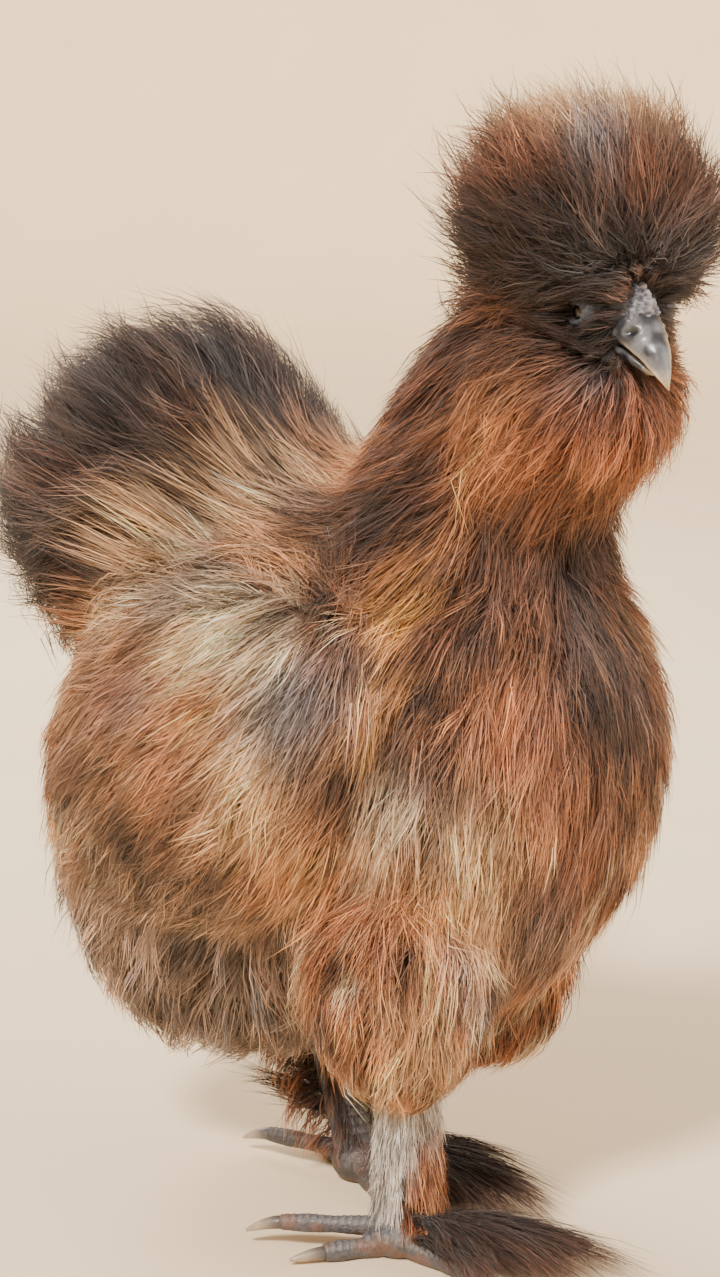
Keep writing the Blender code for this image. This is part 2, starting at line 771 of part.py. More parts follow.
def shank_locks(side, attempt):
    """Tufts down the outer side of a shank, hanging clear of the foot."""
    draw = random.Random(f"shank {side} {SEED} {attempt}")
    outward = -1 if side == "right" else 1
    tufts = []
    for height, degrees in SHANK_TUFTS:
        angle = math.radians(degrees + draw.uniform(-6, 6))
        out = Vector((outward * math.cos(angle), math.sin(angle), 0))
        share = (height - SHANK_FOOT_Z) / (HOCK_OFFSET[side].z - SHANK_FOOT_Z)
        root = (FOOT_AT[side] + Vector((0, 0.002, SHANK_FOOT_Z))).lerp(
            FOOT_AT[side] + HOCK_OFFSET[side], share
        )
        fall = min(SHANK_TUFT_LENGTH, height - 0.0150) * draw.uniform(0.92, 1.0)
        points = [root + out * 0.0025]
        for far, low in ((0.0085, 0.30), (0.0120, 0.68), (0.0125, 1.0)):
            points.append(root + out * far - Vector((0, 0, fall * low)))
        widths = (SHANK_TUFT_WIDTH * 0.8, SHANK_TUFT_WIDTH, SHANK_TUFT_WIDTH * 0.7)
        tufts.append(lock(points, out, widths, (0.0030, 0.0026, 0.0018)))
    return [made for made in tufts if made]


clear_scene()
HEN = bpy.data.collections.new("silkie_hen")
CUTTERS = bpy.data.collections.new("cutters")
for made in (HEN, CUTTERS):
    bpy.context.scene.collection.children.link(made)

RUST = new_material("rust_plumage", (0.36, 0.16, 0.07), 0.85)
DARK = new_material("dark_plumage", (0.10, 0.07, 0.06), 0.85)
HORN = new_material("horn", (0.20, 0.21, 0.22), 0.45)
SKIN = new_material("slate_skin", (0.16, 0.17, 0.19), 0.65)
EYE = new_material("eye", (0.02, 0.015, 0.012), 0.15)
LOBE = new_material("earlobe", (0.16, 0.33, 0.36), 0.6)

# The plumage's forms out to the tips, by the node that they belong to.
FORMS = {
    "torso": lambda grow: [trunk_form(grow)],
    "neck": lambda grow: [neck_form(grow)],
}
for egg in EGGS:
    FORMS[egg] = lambda grow, egg=egg: [egg_form(egg, grow)]

# Every node in the order that it is cut: each clears room for itself in those after it.
SHAPES = {
    "torso": (lambda grow: core_forms("torso", grow), RUST),
    "eye_right": (lambda grow: eye_forms(-1, grow), EYE),
    "eye_left": (lambda grow: eye_forms(1, grow), EYE),
    "head": (head_forms, SKIN),
    "beak_upper": (lambda grow: [mandible(UPPER_BEAK, UPPER_TIP, 1, grow)], HORN),
    "beak_lower": (lambda grow: [mandible(LOWER_BEAK, LOWER_TIP, -1, grow)], HORN),
    "comb": (comb_forms, SKIN),
    "earlobe_right": (lambda grow: earlobe_forms(-1, grow), LOBE),
    "earlobe_left": (lambda grow: earlobe_forms(1, grow), LOBE),
}
for coat in COATS:
    if coat != "torso":
        material = DARK if coat == "tail" else RUST
        SHAPES[coat] = (lambda grow, coat=coat: core_forms(coat, grow), material)
for leg in ("right", "left"):
    SHAPES[f"foot_{leg}"] = (lambda grow, leg=leg: pad_forms(leg, grow), SKIN)
    SHAPES[f"shank_{leg}"] = (lambda grow, leg=leg: shank_forms(leg, grow), SKIN)
    for toe in TOES:
        SHAPES[f"toe_{leg}_{toe}"] = (
            lambda grow, leg=leg, toe=toe: toe_forms(leg, toe, grow),
            SKIN,
        )
        SHAPES[f"claw_{leg}_{toe}"] = (
            lambda grow, leg=leg, toe=toe: claw_forms(leg, toe, grow),
            HORN,
        )


def extra_cutters(name, grow=0.0):
    """What is cut out of a node beside its neighbours."""
    if name == "head":
        return [lid_opening(1), lid_opening(-1)]
    if name == "beak_upper":
        return [nostril(1), nostril(-1)]
    if name in ("crest", "beard"):
        return face_tools(grow)
    if name.startswith(("foot", "toe")):
        return [below_floor()]
    return []


def near_cutters(boxes, shapes):
    """Those of the shapes whose boxes meet one of the boxes, as helper objects."""
    kept = []
    for shape in shapes:
        if all(apart(box_of(shape), box) for box in boxes):
            shape.free()
        else:
            kept.append(helper(shape))
    return kept


def fuse(name, pieces, collection):
    """One object of the pieces, joined."""
    joined = new_object(name, pieces[0], collection)
    joined.hide_render = collection == CUTTERS
    combine(joined, [helper(piece) for piece in pieces[1:]], "UNION")
    return joined


def locks_of(name, attempt):
    """The locks that a node carries."""
    if name in COATS:
        return coat_locks(name, attempt)
    kind, side = name.split("_")
    return plume_locks(side, attempt) if kind == "foot" else shank_locks(side, attempt)


def cut_locks(name, attempt):
    """The node's locks as one object, clear of every neighbour, or None if it isn't closed."""
    locks = locks_of(name, attempt)
    boxes = [box_of(piece) for piece in locks]
    joined = fuse("locks", locks, CUTTERS)
    if closed(joined.data):
        shapes = extra_cutters(name, LOCK_GAP)
        for other in SHAPES:
            if other != name:
                shapes += SHAPES[other][0](LOCK_GAP)
        for other in LYING_OVER.get(name, ()):
            shapes += FORMS[other](COAT_GAP)
        combine(joined, near_cutters(boxes, shapes), "DIFFERENCE")
    if closed(joined.data):
        return joined
    bpy.data.objects.remove(joined)
    return None


def grow_locks(node, name):
    """Joins the node's locks to it, from the first draw that comes out closed."""
    bare = node.data
    for attempt in range(MOST_DRAWS):
        joined = cut_locks(name, attempt)
        if joined is None:
            continue
        node.data = bare.copy()
        combine(node, [joined], "UNION")
        rework(node.data, keep_largest)
        if closed(node.data):
            return
    raise RuntimeError(f"{name}: no draw of its locks came out closed")


def build_node(name, earlier):
    """Joins the node's shapes, cuts its neighbours' room out of them and keeps the one body."""
    shapes, material = SHAPES[name]
    pieces = shapes(0.0)
    boxes = [box_of(piece) for piece in pieces]
    node = fuse(name, pieces, HEN)
    cutters = extra_cutters(name)
    for other in earlier:
        cutters += SHAPES[other][0](GAP)
    combine(node, near_cutters(boxes, cutters), "DIFFERENCE")
    rework(node.data, keep_largest)
    if name in COATS or name.startswith(("foot", "shank")):
        grow_locks(node, name)
    node.data.materials.clear()
    node.data.materials.append(material)
    node.data.shade_smooth()
    node.data.set_sharp_from_angle(angle=math.radians(50))


def move_to_origin():
    """Moves the hen so that the middle of her bounding box's underside is the origin."""
    corners = [vert.co for node in HEN.objects for vert in node.data.vertices]
    shift = Vector()
    for axis in (0, 1):
        values = [corner[axis] for corner in corners]
        shift[axis] = -(min(values) + max(values)) / 2
    shift.z = -min(corner.z for corner in corners)
    for node in HEN.objects:
        node.data.transform(Matrix.Translation(shift))
    print("moved by", *(f"{value:.6f}" for value in shift))


names = list(SHAPES)
for count, name in enumerate(names):
    build_node(name, names[:count])
move_to_origin()
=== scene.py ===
"""The looks of a silkie hen: one skin, silky plumage in fine strands, beak, eyes and claws.

The hen faces -Y and her left side is +X, in metres. Shapes are worked out in the model's own frame
before it was centred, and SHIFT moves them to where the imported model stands.
"""

import math

import bmesh
import bpy
import numpy as np
from mathutils import Euler, Matrix, Vector, noise
from mathutils.bvhtree import BVHTree
from mathutils.kdtree import KDTree


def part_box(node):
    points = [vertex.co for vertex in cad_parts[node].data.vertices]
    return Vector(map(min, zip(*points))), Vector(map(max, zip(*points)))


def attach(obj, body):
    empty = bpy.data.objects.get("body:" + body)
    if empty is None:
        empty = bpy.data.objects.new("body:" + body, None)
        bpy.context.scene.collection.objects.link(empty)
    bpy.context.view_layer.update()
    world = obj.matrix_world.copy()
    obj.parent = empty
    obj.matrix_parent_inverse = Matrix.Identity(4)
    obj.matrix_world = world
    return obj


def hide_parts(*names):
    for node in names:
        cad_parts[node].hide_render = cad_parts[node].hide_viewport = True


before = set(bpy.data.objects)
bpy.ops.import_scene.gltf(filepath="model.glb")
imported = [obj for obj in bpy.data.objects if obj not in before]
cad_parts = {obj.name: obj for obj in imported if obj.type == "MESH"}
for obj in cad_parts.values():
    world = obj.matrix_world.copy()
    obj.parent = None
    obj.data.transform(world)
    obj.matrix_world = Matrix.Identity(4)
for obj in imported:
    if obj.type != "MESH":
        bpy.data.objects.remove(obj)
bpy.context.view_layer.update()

# The plumage's form out to the tips. The trunk from breast to vent: y, top, bottom, half breadth.
TRUNK_STATIONS = (
    (-0.0690, 0.1850, 0.1200, 0.0280),
    (-0.0520, 0.2060, 0.0880, 0.0510),
    (-0.0240, 0.2200, 0.0640, 0.0650),
    (0.0100, 0.2280, 0.0500, 0.0700),
    (0.0480, 0.2340, 0.0380, 0.0710),
    (0.0820, 0.2240, 0.0290, 0.0700),
    (0.1080, 0.1880, 0.0330, 0.0570),
)
TRUNK_FRONT = Vector((0.0, -0.0775, 0.1540))
TRUNK_BACK = Vector((0.0, 0.1270, 0.1050))
# The neck: z, y of its middle, half breadth, half depth.
NECK_STATIONS = (
    (0.1640, 0.0020, 0.0580, 0.0540),
    (0.1970, -0.0140, 0.0510, 0.0490),
    (0.2215, -0.0220, 0.0420, 0.0400),
    (0.2420, -0.0270, 0.0360, 0.0350),
    (0.2610, -0.0350, 0.0320, 0.0300),
    (0.2760, -0.0470, 0.0280, 0.0260),
)
NECK_FOOT = Vector((0.0, 0.0060, 0.1450))
NECK_TOP = Vector((-0.002, -0.0540, 0.2900))
# Rounded masses: centre, radii, turn in degrees, and how much the far end narrows.
EGGS = {
    "crest": ((-0.0010, -0.0620, 0.3010), (0.0400, 0.0405, 0.0345), (8, 0, 0), 0.0),
    "beard": ((-0.0060, -0.0660, 0.2500), (0.0335, 0.0310, 0.0300), (12, 0, 0), 0.0),
    "tail": ((-0.0120, 0.1095, 0.2200), (0.0650, 0.0635, 0.0640), (28, 0, 0), 0.0),
    "wing_right": ((-0.0550, 0.0360, 0.1460), (0.0260, 0.0690, 0.0510), (-20, 0, 2), 0.20),
    "wing_left": ((0.0550, 0.0360, 0.1460), (0.0260, 0.0690, 0.0510), (-20, 0, -2), 0.20),
    "thigh_right": ((-0.0340, -0.0230, 0.0820), (0.0290, 0.0310, 0.0380), (0, 0, 0), 0.0),
    "thigh_left": ((0.0350, 0.0090, 0.0720), (0.0300, 0.0340, 0.0380), (0, 0, 0), 0.0),
}
# The body under the plumage: how far the form is drawn in, or centre and radii of its own.
CORES = {
    "torso": 0.0130,
    "neck": 0.0130,
    "wing_right": 0.0070,
    "wing_left": 0.0070,
    "thigh_right": 0.0090,
    "thigh_left": 0.0090,
    "crest": ((-0.0010, -0.0640, 0.2955), (0.0215, 0.0235, 0.0180)),
    "beard": ((-0.0050, -0.0630, 0.2545), (0.0190, 0.0190, 0.0175)),
    "tail": ((0.0000, 0.0940, 0.1980), (0.0290, 0.0350, 0.0320)),
}

# The head in its own frame: -Y ahead, +X to the hen's left, origin in the middle of the skull.
HEAD_YAW = math.radians(16)
HEAD_AT = Vector((-0.0035, -0.0690, 0.2760))
HEAD = Matrix.Translation(HEAD_AT) @ Matrix.Rotation(-HEAD_YAW, 4, "Z")
SKULL_RADII = (0.0135, 0.0190, 0.0165)
FACE_COAT = 0.0045
EYE_RADIUS = 0.0042
EYE_PLACE = (0.0108, -0.0095, -0.0005)
LID_RADIUS = 0.0056
LID_OPENING = (0.0100, 0.0037, 0.0027)
EARLOBE_RADII = (0.0026, 0.0042, 0.0052)
EARLOBE_PLACE = (0.0128, 0.0080, -0.0055)
# The beak from the side: how far ahead and how high the upper and the lower edge lie, half width.
UPPER_BEAK = (
    (0.0180, 0.0012, 0.0100, -0.0072, 0.0074),
    (0.0234, -0.0012, 0.0165, -0.0088, 0.0070),
    (0.0263, -0.0055, 0.0215, -0.0108, 0.0058),
    (0.0292, -0.0087, 0.0255, -0.0135, 0.0043),
    (0.0315, -0.0141, 0.0290, -0.0168, 0.0024),
)
UPPER_TIP = (0.0327, -0.0202)
LOWER_BEAK = (
    (0.0100, -0.0082, 0.0090, -0.0122, 0.0064),
    (0.0165, -0.0095, 0.0155, -0.0134, 0.0059),
    (0.0210, -0.0115, 0.0198, -0.0152, 0.0046),
    (0.0245, -0.0141, 0.0236, -0.0168, 0.0029),
)
LOWER_TIP = (0.0268, -0.0166)
NOSTRIL_AT = (0.0052, -0.0222, -0.0052)
# The walnut comb, rows of three knobs: how high, how far ahead, half width and a knob's radius.
COMB_ROWS = (
    (-0.0028, 0.0208, 0.0037, 0.0020),
    (-0.0004, 0.0212, 0.0030, 0.0020),
    (0.0020, 0.0210, 0.0020, 0.0018),
    (0.0043, 0.0203, 0.0009, 0.0015),
    (0.0064, 0.0190, 0.0002, 0.0012),
)

# Legs: where each foot stands, the way it points, and sizes.
SIDES = {"right": -1, "left": 1}
FOOT_AT = {"right": Vector((-0.0285, -0.0175, 0.0)), "left": Vector((0.0100, 0.0370, 0.0))}
FOOT_HEADING = {"right": math.radians(38), "left": math.radians(8)}
HOCK_OFFSET = {"right": Vector((0.001, -0.002, 0.062)), "left": Vector((0.002, 0.024, 0.062))}
ANKLE = Vector((0, 0.002, 0.0100))
SHANK_RADII = (0.0066, 0.0060, 0.0062, 0.0074)
PAD_RADII = (0.0088, 0.0095, 0.0072)
PAD_Z = 0.0060
# Each toe: its turn from the foot's heading, length, radius, rise of its end, height of its root.
TOES = {
    1: (205, 0.0230, 0.0033, 0.0000, 0.0030),
    2: (38, 0.0320, 0.0034, 0.0000, 0.0031),
    3: (0, 0.0410, 0.0036, 0.0000, 0.0033),
    4: (-42, 0.0350, 0.0034, 0.0000, 0.0031),
    5: (178, 0.0350, 0.0030, 0.0050, 0.0080),
}
TOE_SWELL = (1.0, 1.02, 0.86, 0.96, 0.80)
CLAW_LENGTH = 0.0110
CLAW_RADIUS = 0.0020
CLAW_TIP_Z = 0.0016
CLAW_STEPS = 14

# The camera: its angle round the hen and above the floor, its distance, how many of the photo's
# pixels a metre takes there, and where in the photo the model's origin and the middle lie.
CAMERA_AZIMUTH = math.radians(-45)
CAMERA_RISE = math.radians(10)
CAMERA_DISTANCE = 1.0
PIXELS_A_METRE = 3333
ORIGIN_PIXEL = (424, 1215)
MIDDLE_PIXEL = (360, 638.5)
PHOTO_HEIGHT = 1277
SENSOR = 36.0

# The places that the plumage of crest, beard and tail points away from, and the axes.
CREST_POLE = Vector((-0.0080, -0.0900, 0.2780))
BEARD_POLE = Vector((-0.0080, -0.0890, 0.2640))
TAIL_POLE = Vector((0.0, 0.0500, 0.1780))
X, Y, Z = Vector((1, 0, 0)), Vector((0, 1, 0)), Vector((0, 0, 1))


def linear(colour):
    """A colour given as shares of 255 on screen, as the linear numbers that shaders use."""
    shares = np.array(colour, float) / 255
    return np.where(shares <= 0.04045, shares / 12.92, ((shares + 0.055) / 1.055) ** 2.4)


COLOURS = {
    "rust": linear((148, 92, 64)),
    "red": linear((180, 108, 74)),
    "brown": linear((98, 65, 49)),
    "orange": linear((222, 148, 92)),
    "tan": linear((242, 190, 138)),
    "pale": linear((254, 228, 190)),
    "gold": linear((244, 174, 72)),
    "grey": linear((142, 138, 144)),
    "fluff": linear((162, 132, 110)),
    "smoke": linear((110, 88, 77)),
    "dark": linear((48, 37, 33)),
    "charcoal": linear((82, 78, 82)),
    "white": linear((200, 192, 184)),
}


def blend(low, high, value):
    """How far value has come from low to high, eased at both ends."""
    share = np.clip((value - low) / (high - low), 0, 1)
    return share * share * (3 - 2 * share)


def mirrored(place, side):
    return Vector((place[0] * side, place[1], place[2]))


def grown(radii, grow):
    return tuple(radius + grow for radius in radii)


# Closed shapes that the skin and the plumage's forms are made of.
FORM_SIDES = 32
STATION_STEPS = 4


def loft(rings, first, last):
    """A closed skin through rings of equally many points, drawn to a point at each end."""
    bm = bmesh.new()
    rows = [[bm.verts.new(point) for point in ring] for ring in rings]
    for row, after in zip(rows, rows[1:]):
        for index in range(len(row)):
            follower = (index + 1) % len(row)
            bm.faces.new((row[index], row[follower], after[follower], after[index]))
    for row, tip in ((rows[0], first), (rows[-1], last)):
        point = bm.verts.new(tip)
        for index in range(len(row)):
            bm.faces.new((row[index], row[(index + 1) % len(row)], point))
    bmesh.ops.recalc_face_normals(bm, faces=bm.faces)
    return bm


def ring_round(centre, across, deep, half_across, half_deep, sides):
    """Points of an ellipse about centre, spanned by two unit vectors."""
    angles = [2 * math.pi * index / sides for index in range(sides)]
    return [
        centre + across * half_across * math.cos(a) + deep * half_deep * math.sin(a) for a in angles
    ]


def smooth_stations(stations, steps):
    """The stations with steps between each pair, on a Catmull-Rom curve through the numbers."""
    before = [2 * a - b for a, b in zip(stations[0], stations[1])]
    after = [2 * a - b for a, b in zip(stations[-1], stations[-2])]
    line = [before, *stations, after]
    made = []
    for index in range(1, len(line) - 2):
        for step in range(steps):
            t = step / steps
            weights = (
                -0.5 * t + t * t - 0.5 * t**3,
                1 - 2.5 * t * t + 1.5 * t**3,
                0.5 * t + 2 * t * t - 1.5 * t**3,
                -0.5 * t * t + 0.5 * t**3,
            )
            near = line[index - 1 : index + 3]
            made.append(tuple(sum(w * n for w, n in zip(weights, column)) for column in zip(*near)))
    return [*made, stations[-1]]


def trunk_form(grow=0.0):
    rings = []
    for y, top, bottom, half_breadth in smooth_stations(TRUNK_STATIONS, STATION_STEPS):
        centre = Vector((0, y, (top + bottom) / 2))
        half_height = (top - bottom) / 2 + grow
        rings.append(ring_round(centre, X, Z, half_breadth + grow, half_height, FORM_SIDES))
    return loft(rings, TRUNK_FRONT - Y * grow, TRUNK_BACK + Y * grow)


def neck_form(grow=0.0):
    rings = []
    for z, y, half_breadth, half_depth in smooth_stations(NECK_STATIONS, STATION_STEPS):
        radii = grown((half_breadth, half_depth), grow)
        rings.append(ring_round(Vector((0, y, z)), X, Y, *radii, FORM_SIDES))
    return loft(rings, NECK_FOOT - Z * grow, NECK_TOP + Z * grow)


def egg_form(name, grow=0.0):
    """One rounded mass, from a sphere stretched to its radii and narrowed towards its far end."""
    centre, radii, turn, taper = EGGS[name]
    bm = bmesh.new()
    bmesh.ops.create_icosphere(bm, subdivisions=4, radius=1.0)
    rotation = Euler([math.radians(a) for a in turn]).to_matrix()
    for vert in bm.verts:
        narrow = 1 - taper * vert.co.y
        x = vert.co.x * (narrow * radii[0] + grow)
        y = vert.co.y * (radii[1] + grow)
        z = vert.co.z * (narrow * radii[2] + grow)
        vert.co = rotation @ Vector((x, y, z)) + Vector(centre)
    return bm


def ball(centre, radii, matrix=None, segments=24, rings=16):
    """An ellipsoid about centre in the frame that matrix gives, lofted ring by ring."""
    place = (matrix or Matrix.Identity(4)) @ Matrix.Translation(centre) @ Matrix.Diagonal((*radii, 1.0))
    hoops = []
    for index in range(1, rings):
        polar = math.pi * index / rings
        hoop = ring_round(Z * math.cos(polar), X, Y, math.sin(polar), math.sin(polar), segments)
        hoops.append([place @ point for point in hoop])
    return loft(hoops, place @ Z, place @ -Z)


def tube(points, radii, sides=20):
    """A tapering tube along the points."""
    rings = []
    for index, point in enumerate(points):
        before = points[max(index - 1, 0)]
        after = points[min(index + 1, len(points) - 1)]
        along = (after - before).normalized()
        across = along.cross(Z)
        across = across.normalized() if across.length > 1e-4 else X
        rings.append(ring_round(point, across, across.cross(along), radii[index], radii[index], sides))
    return loft(rings, points[0], points[-1])


def skull_form(grow=0.0, segments=24, rings=16):
    return ball((0, 0, 0), grown(SKULL_RADII, grow), HEAD, segments, rings)


def coat_form(name, grow=0.0):
    """One part's form out to the plumage's tips."""
    if name == "face":
        return skull_form(FACE_COAT + grow)
    if name in EGGS:
        return egg_form(name, grow)
    return trunk_form(grow) if name == "torso" else neck_form(grow)


def core_form(name, grow=0.0):
    """The body under a coat."""
    if name == "face":
        return skull_form(grow)
    core = CORES[name]
    if isinstance(core, tuple):
        return ball(core[0], grown(core[1], grow), None, 36, 24)
    return coat_form(name, grow - core)


def direction(side, degrees=0.0):
    """The unit vector on the floor at that angle from the way the foot points, inward positive."""
    angle = FOOT_HEADING[side] - SIDES[side] * math.radians(degrees)
    return Vector((math.sin(angle), -math.cos(angle), 0))


def toe_line(side, number):
    """Where the toe starts and ends, and the unit vector along it."""
    degrees, length, radius, rise, root_z = TOES[number]
    ahead = direction(side, degrees)
    start = FOOT_AT[side] + ahead * 0.003 + Vector((0, 0, root_z))
    end = FOOT_AT[side] + ahead * length + Vector((0, 0, radius * 0.86 + rise))
    return start, end, (end - start).normalized()


def toe_form(side, number):
    start, end, _ = toe_line(side, number)
    last = len(TOE_SWELL) - 1
    points = [start.lerp(end, index / last) for index in range(last + 1)]
    return tube(points, [TOES[number][2] * share for share in TOE_SWELL])


def shank_form(side):
    """The scaled shank, leaning back from the foot to the hock."""
    foot, hock = FOOT_AT[side] + ANKLE, FOOT_AT[side] + HOCK_OFFSET[side]
    last = len(SHANK_RADII) - 1
    points = [foot.lerp(hock, index / last) for index in range(last + 1)]
    return tube(points, SHANK_RADII)


def pad_form(side):
    matrix = Matrix.Translation(FOOT_AT[side]) @ Matrix.Rotation(FOOT_HEADING[side], 4, "Z")
    return ball(Vector((0, 0, PAD_Z)), PAD_RADII, matrix)


def comb_forms():
    """Knobs in rows up the forehead, from the beak's root."""
    shapes = []
    for up, ahead, half_width, radius in COMB_ROWS:
        for spot in (-1, 0, 1):
            place = Vector((spot * half_width, 0.0012 * abs(spot) - ahead, up))
            size = radius * (1.0 if spot else 1.15)
            shapes.append(ball(place, (size, size, size * 0.85), HEAD))
    return shapes


# Search trees over the shapes.


def mesh_of(name, shape):
    """The shape as a mesh, and the shape is freed."""
    made = bpy.data.meshes.new(name)
    shape.to_mesh(made)
    shape.free()
    return made


def join_meshes(name, meshes):
    """One mesh of several, which are removed, with their colours."""
    whole = bmesh.new()
    for mesh in meshes:
        whole.from_mesh(mesh)
        bpy.data.meshes.remove(mesh)
    return mesh_of(name, whole)


def joined_mesh(name, shapes):
    return join_meshes(name, [mesh_of("part", shape) for shape in shapes])


def tree_of(shape):
    bmesh.ops.triangulate(shape, faces=shape.faces)
    tree = BVHTree.FromBMesh(shape)
    shape.free()
    return tree


def rows_of(items, field, kind, width):
    """That field of each of a mesh's items, in rows of width numbers."""
    flat = np.empty(len(items) * width, kind)
    items.foreach_get(field, flat)
    return flat.reshape(-1, width)


def points_of(mesh):
    return rows_of(mesh.vertices, "co", np.float32, 3).astype(float)


def normals_of(mesh):
    return rows_of(mesh.vertex_normals, "vector", np.float32, 3).astype(float)


def set_points(mesh, places):
    mesh.vertices.foreach_set("co", places.astype(np.float32).ravel())
    mesh.update()


def placed(name, data):
    """A new object of the scene for a mesh, a lamp or the camera."""
    made = bpy.data.objects.new(name, data)
    bpy.context.scene.collection.objects.link(made)
    return made


def remeshed(name, shapes, size, smooth):
    """The shapes as one even skin with faces of that size, its creases smoothed."""
    mesh = joined_mesh(name, shapes)
    helper = placed("helper", mesh)
    voxels = helper.modifiers.new("voxels", "REMESH")
    voxels.mode = "VOXEL"
    voxels.voxel_size = size
    relax = helper.modifiers.new("relax", "SMOOTH")
    relax.factor = 0.5
    relax.iterations = smooth
    graph = bpy.context.evaluated_depsgraph_get()
    made = bpy.data.meshes.new_from_object(helper.evaluated_get(graph))
    made.name = name
    bpy.data.objects.remove(helper)
    bpy.data.meshes.remove(mesh)
    return made


def tree_of_mesh(mesh):
    shape = bmesh.new()
    shape.from_mesh(mesh)
    bpy.data.meshes.remove(mesh)
    return tree_of(shape)


def shift_of_frame():
    """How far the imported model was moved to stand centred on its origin."""
    low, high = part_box("eye_right")
    return (low + high) / 2 - HEAD @ mirrored(EYE_PLACE, -1)


def lengths(vectors):
    return np.linalg.norm(vectors, axis=-1)


def unit(vectors):
    return vectors / np.maximum(lengths(vectors)[..., None], 1e-9)


def relaxed(mesh, values, rounds):
    """Values at the mesh's points, each drawn towards its neighbours that many times."""
    one, other = rows_of(mesh.edges, "vertices", np.int32, 2).T
    near = np.bincount(one, minlength=len(values)) + np.bincount(other, minlength=len(values))
    for _ in range(rounds):
        total = np.zeros_like(values)
        np.add.at(total, one, values[other])
        np.add.at(total, other, values[one])
        values = (values + total / near[:, None]) / 2
    return values


def lie_of(form, place):
    """The way the coat lies at a place, before it is laid flat on the body."""
    if form in ("crest", "face"):
        return place - CREST_POLE
    if form == "beard":
        return (place - BEARD_POLE).normalized() + Vector((0, 0, -0.5))
    if form == "tail":
        return place - TAIL_POLE
    if form == "neck":
        back = float(blend(-0.070, -0.010, place.y))
        return Vector((place.x * 4, 0.1 + 0.9 * back, -1.0))
    if form == "torso":
        back = float(blend(-0.05, 0.03, place.y))
        high = float(blend(0.14, 0.19, place.z))
        ahead = 0.12 + 0.9 * back * (0.3 + 0.7 * high)
        return Vector((place.x * 3 * (1 - back), ahead, -1.0 + 1.15 * back * high))
    if form.startswith("wing"):
        front = 1 - float(blend(-0.030, 0.020, place.y))
        outward = math.copysign(0.7 * front, place.x)
        return Vector((outward, 1.0 - 0.95 * front, -0.75 - 0.25 * front))
    return Vector((0, 0.15, -1.0))


class Body:
    """The body under the plumage as one skin, with what the coat needs to know at each place."""

    def __init__(self):
        cores = [core_form(name, -SKIN_THICKNESS) for name in OWNERS]
        self.mesh = remeshed("skin_body", cores, BODY_FACE, 12)
        self.places = points_of(self.mesh)
        trees = [tree_of(core_form(name)) for name in OWNERS]
        away = np.array([[tree.find_nearest(place)[3] for tree in trees] for place in self.places])
        shares = np.exp(-((away / OWNER_FADE) ** 2)) + 1e-9
        self.shares = relaxed(self.mesh, shares / shares.sum(axis=1, keepdims=True), 6)
        lies = np.zeros_like(self.places)
        for index, name in enumerate(OWNERS):
            ways = np.array([lie_of(name, Vector(place)).normalized() for place in self.places])
            lies += ways * self.shares[:, index : index + 1]
        normals = unit(relaxed(self.mesh, normals_of(self.mesh), EVENING_ROUNDS))
        rooms = [self.room_at(place, normal) for place, normal in zip(self.places, normals)]
        rooms = relaxed(self.mesh, np.array(rooms)[:, None], EVENING_ROUNDS)
        faces = rows_of(self.mesh.polygons, "vertices", np.int32, 4)
        self.tree = BVHTree.FromPolygons(self.places.tolist(), faces.tolist())
        self.corners = self.places[faces]
        self.normals = unit(normals[faces].mean(axis=1))
        self.lies = unit(relaxed(self.mesh, lies, EVENING_ROUNDS)[faces].mean(axis=1))
        self.rooms = rooms[faces].mean(axis=1)
        self.face_shares = self.shares[faces].mean(axis=1)
        self.owners = self.face_shares.argmax(axis=1)
        one, two, three, four = self.corners.transpose(1, 0, 2)
        self.sizes = lengths(np.cross(three - one, four - two)) / 2

    def room_at(self, place, normal):
        """How far the plumage's form stands off the skin."""
        ceiling, _, _, room = PLUMAGE_TREE.ray_cast(Vector(place), Vector(normal))
        return min(max(room, LEAST_ROOM), MOST_ROOM) if ceiling else LEAST_ROOM

    def nearest(self, places):
        """The nearest places on the skin and the faces that they lie on."""
        found = [self.tree.find_nearest(place) for place in places.tolist()]
        return np.array([hit[0] for hit in found]), np.array([hit[2] for hit in found])


SHIFT = shift_of_frame()
OWNERS = [*CORES, "face"]
BODY_FACE = 0.0024
PLUMAGE_FACE = 0.0040
SKIN_THICKNESS = 0.0006
OWNER_FADE = 0.009
EVENING_ROUNDS = 8
LEAST_ROOM = 0.003
MOST_ROOM = 0.045
COATED = [coat_form(name) for name in ("torso", "neck", *EGGS, "face")]
PLUMAGE_TREE = tree_of_mesh(remeshed("form", COATED, PLUMAGE_FACE, 10))
BODY = Body()


# The camera, which the marks on the plumage are also placed by.


def camera_axes():
    """The camera's way right, up and back, as unit vectors."""
    x, y, flat = math.cos(CAMERA_AZIMUTH), math.sin(CAMERA_AZIMUTH), math.cos(CAMERA_RISE)
    right, back = Vector((x, y, 0)), Vector((y * flat, -x * flat, math.sin(CAMERA_RISE)))
    return right, back.cross(right), back


def camera_place():
    right, up, back = camera_axes()
    aside = (MIDDLE_PIXEL[0] - ORIGIN_PIXEL[0]) / PIXELS_A_METRE
    above = (ORIGIN_PIXEL[1] - MIDDLE_PIXEL[1]) / PIXELS_A_METRE
    return right * aside + up * above + back * CAMERA_DISTANCE


def pixel_ray(x, y):
    """The unit vector from the camera through one of the photo's pixels."""
    right, up, back = camera_axes()
    focus = PIXELS_A_METRE * CAMERA_DISTANCE
    return (right * (x - MIDDLE_PIXEL[0]) - up * (y - MIDDLE_PIXEL[1]) - back * focus).normalized()


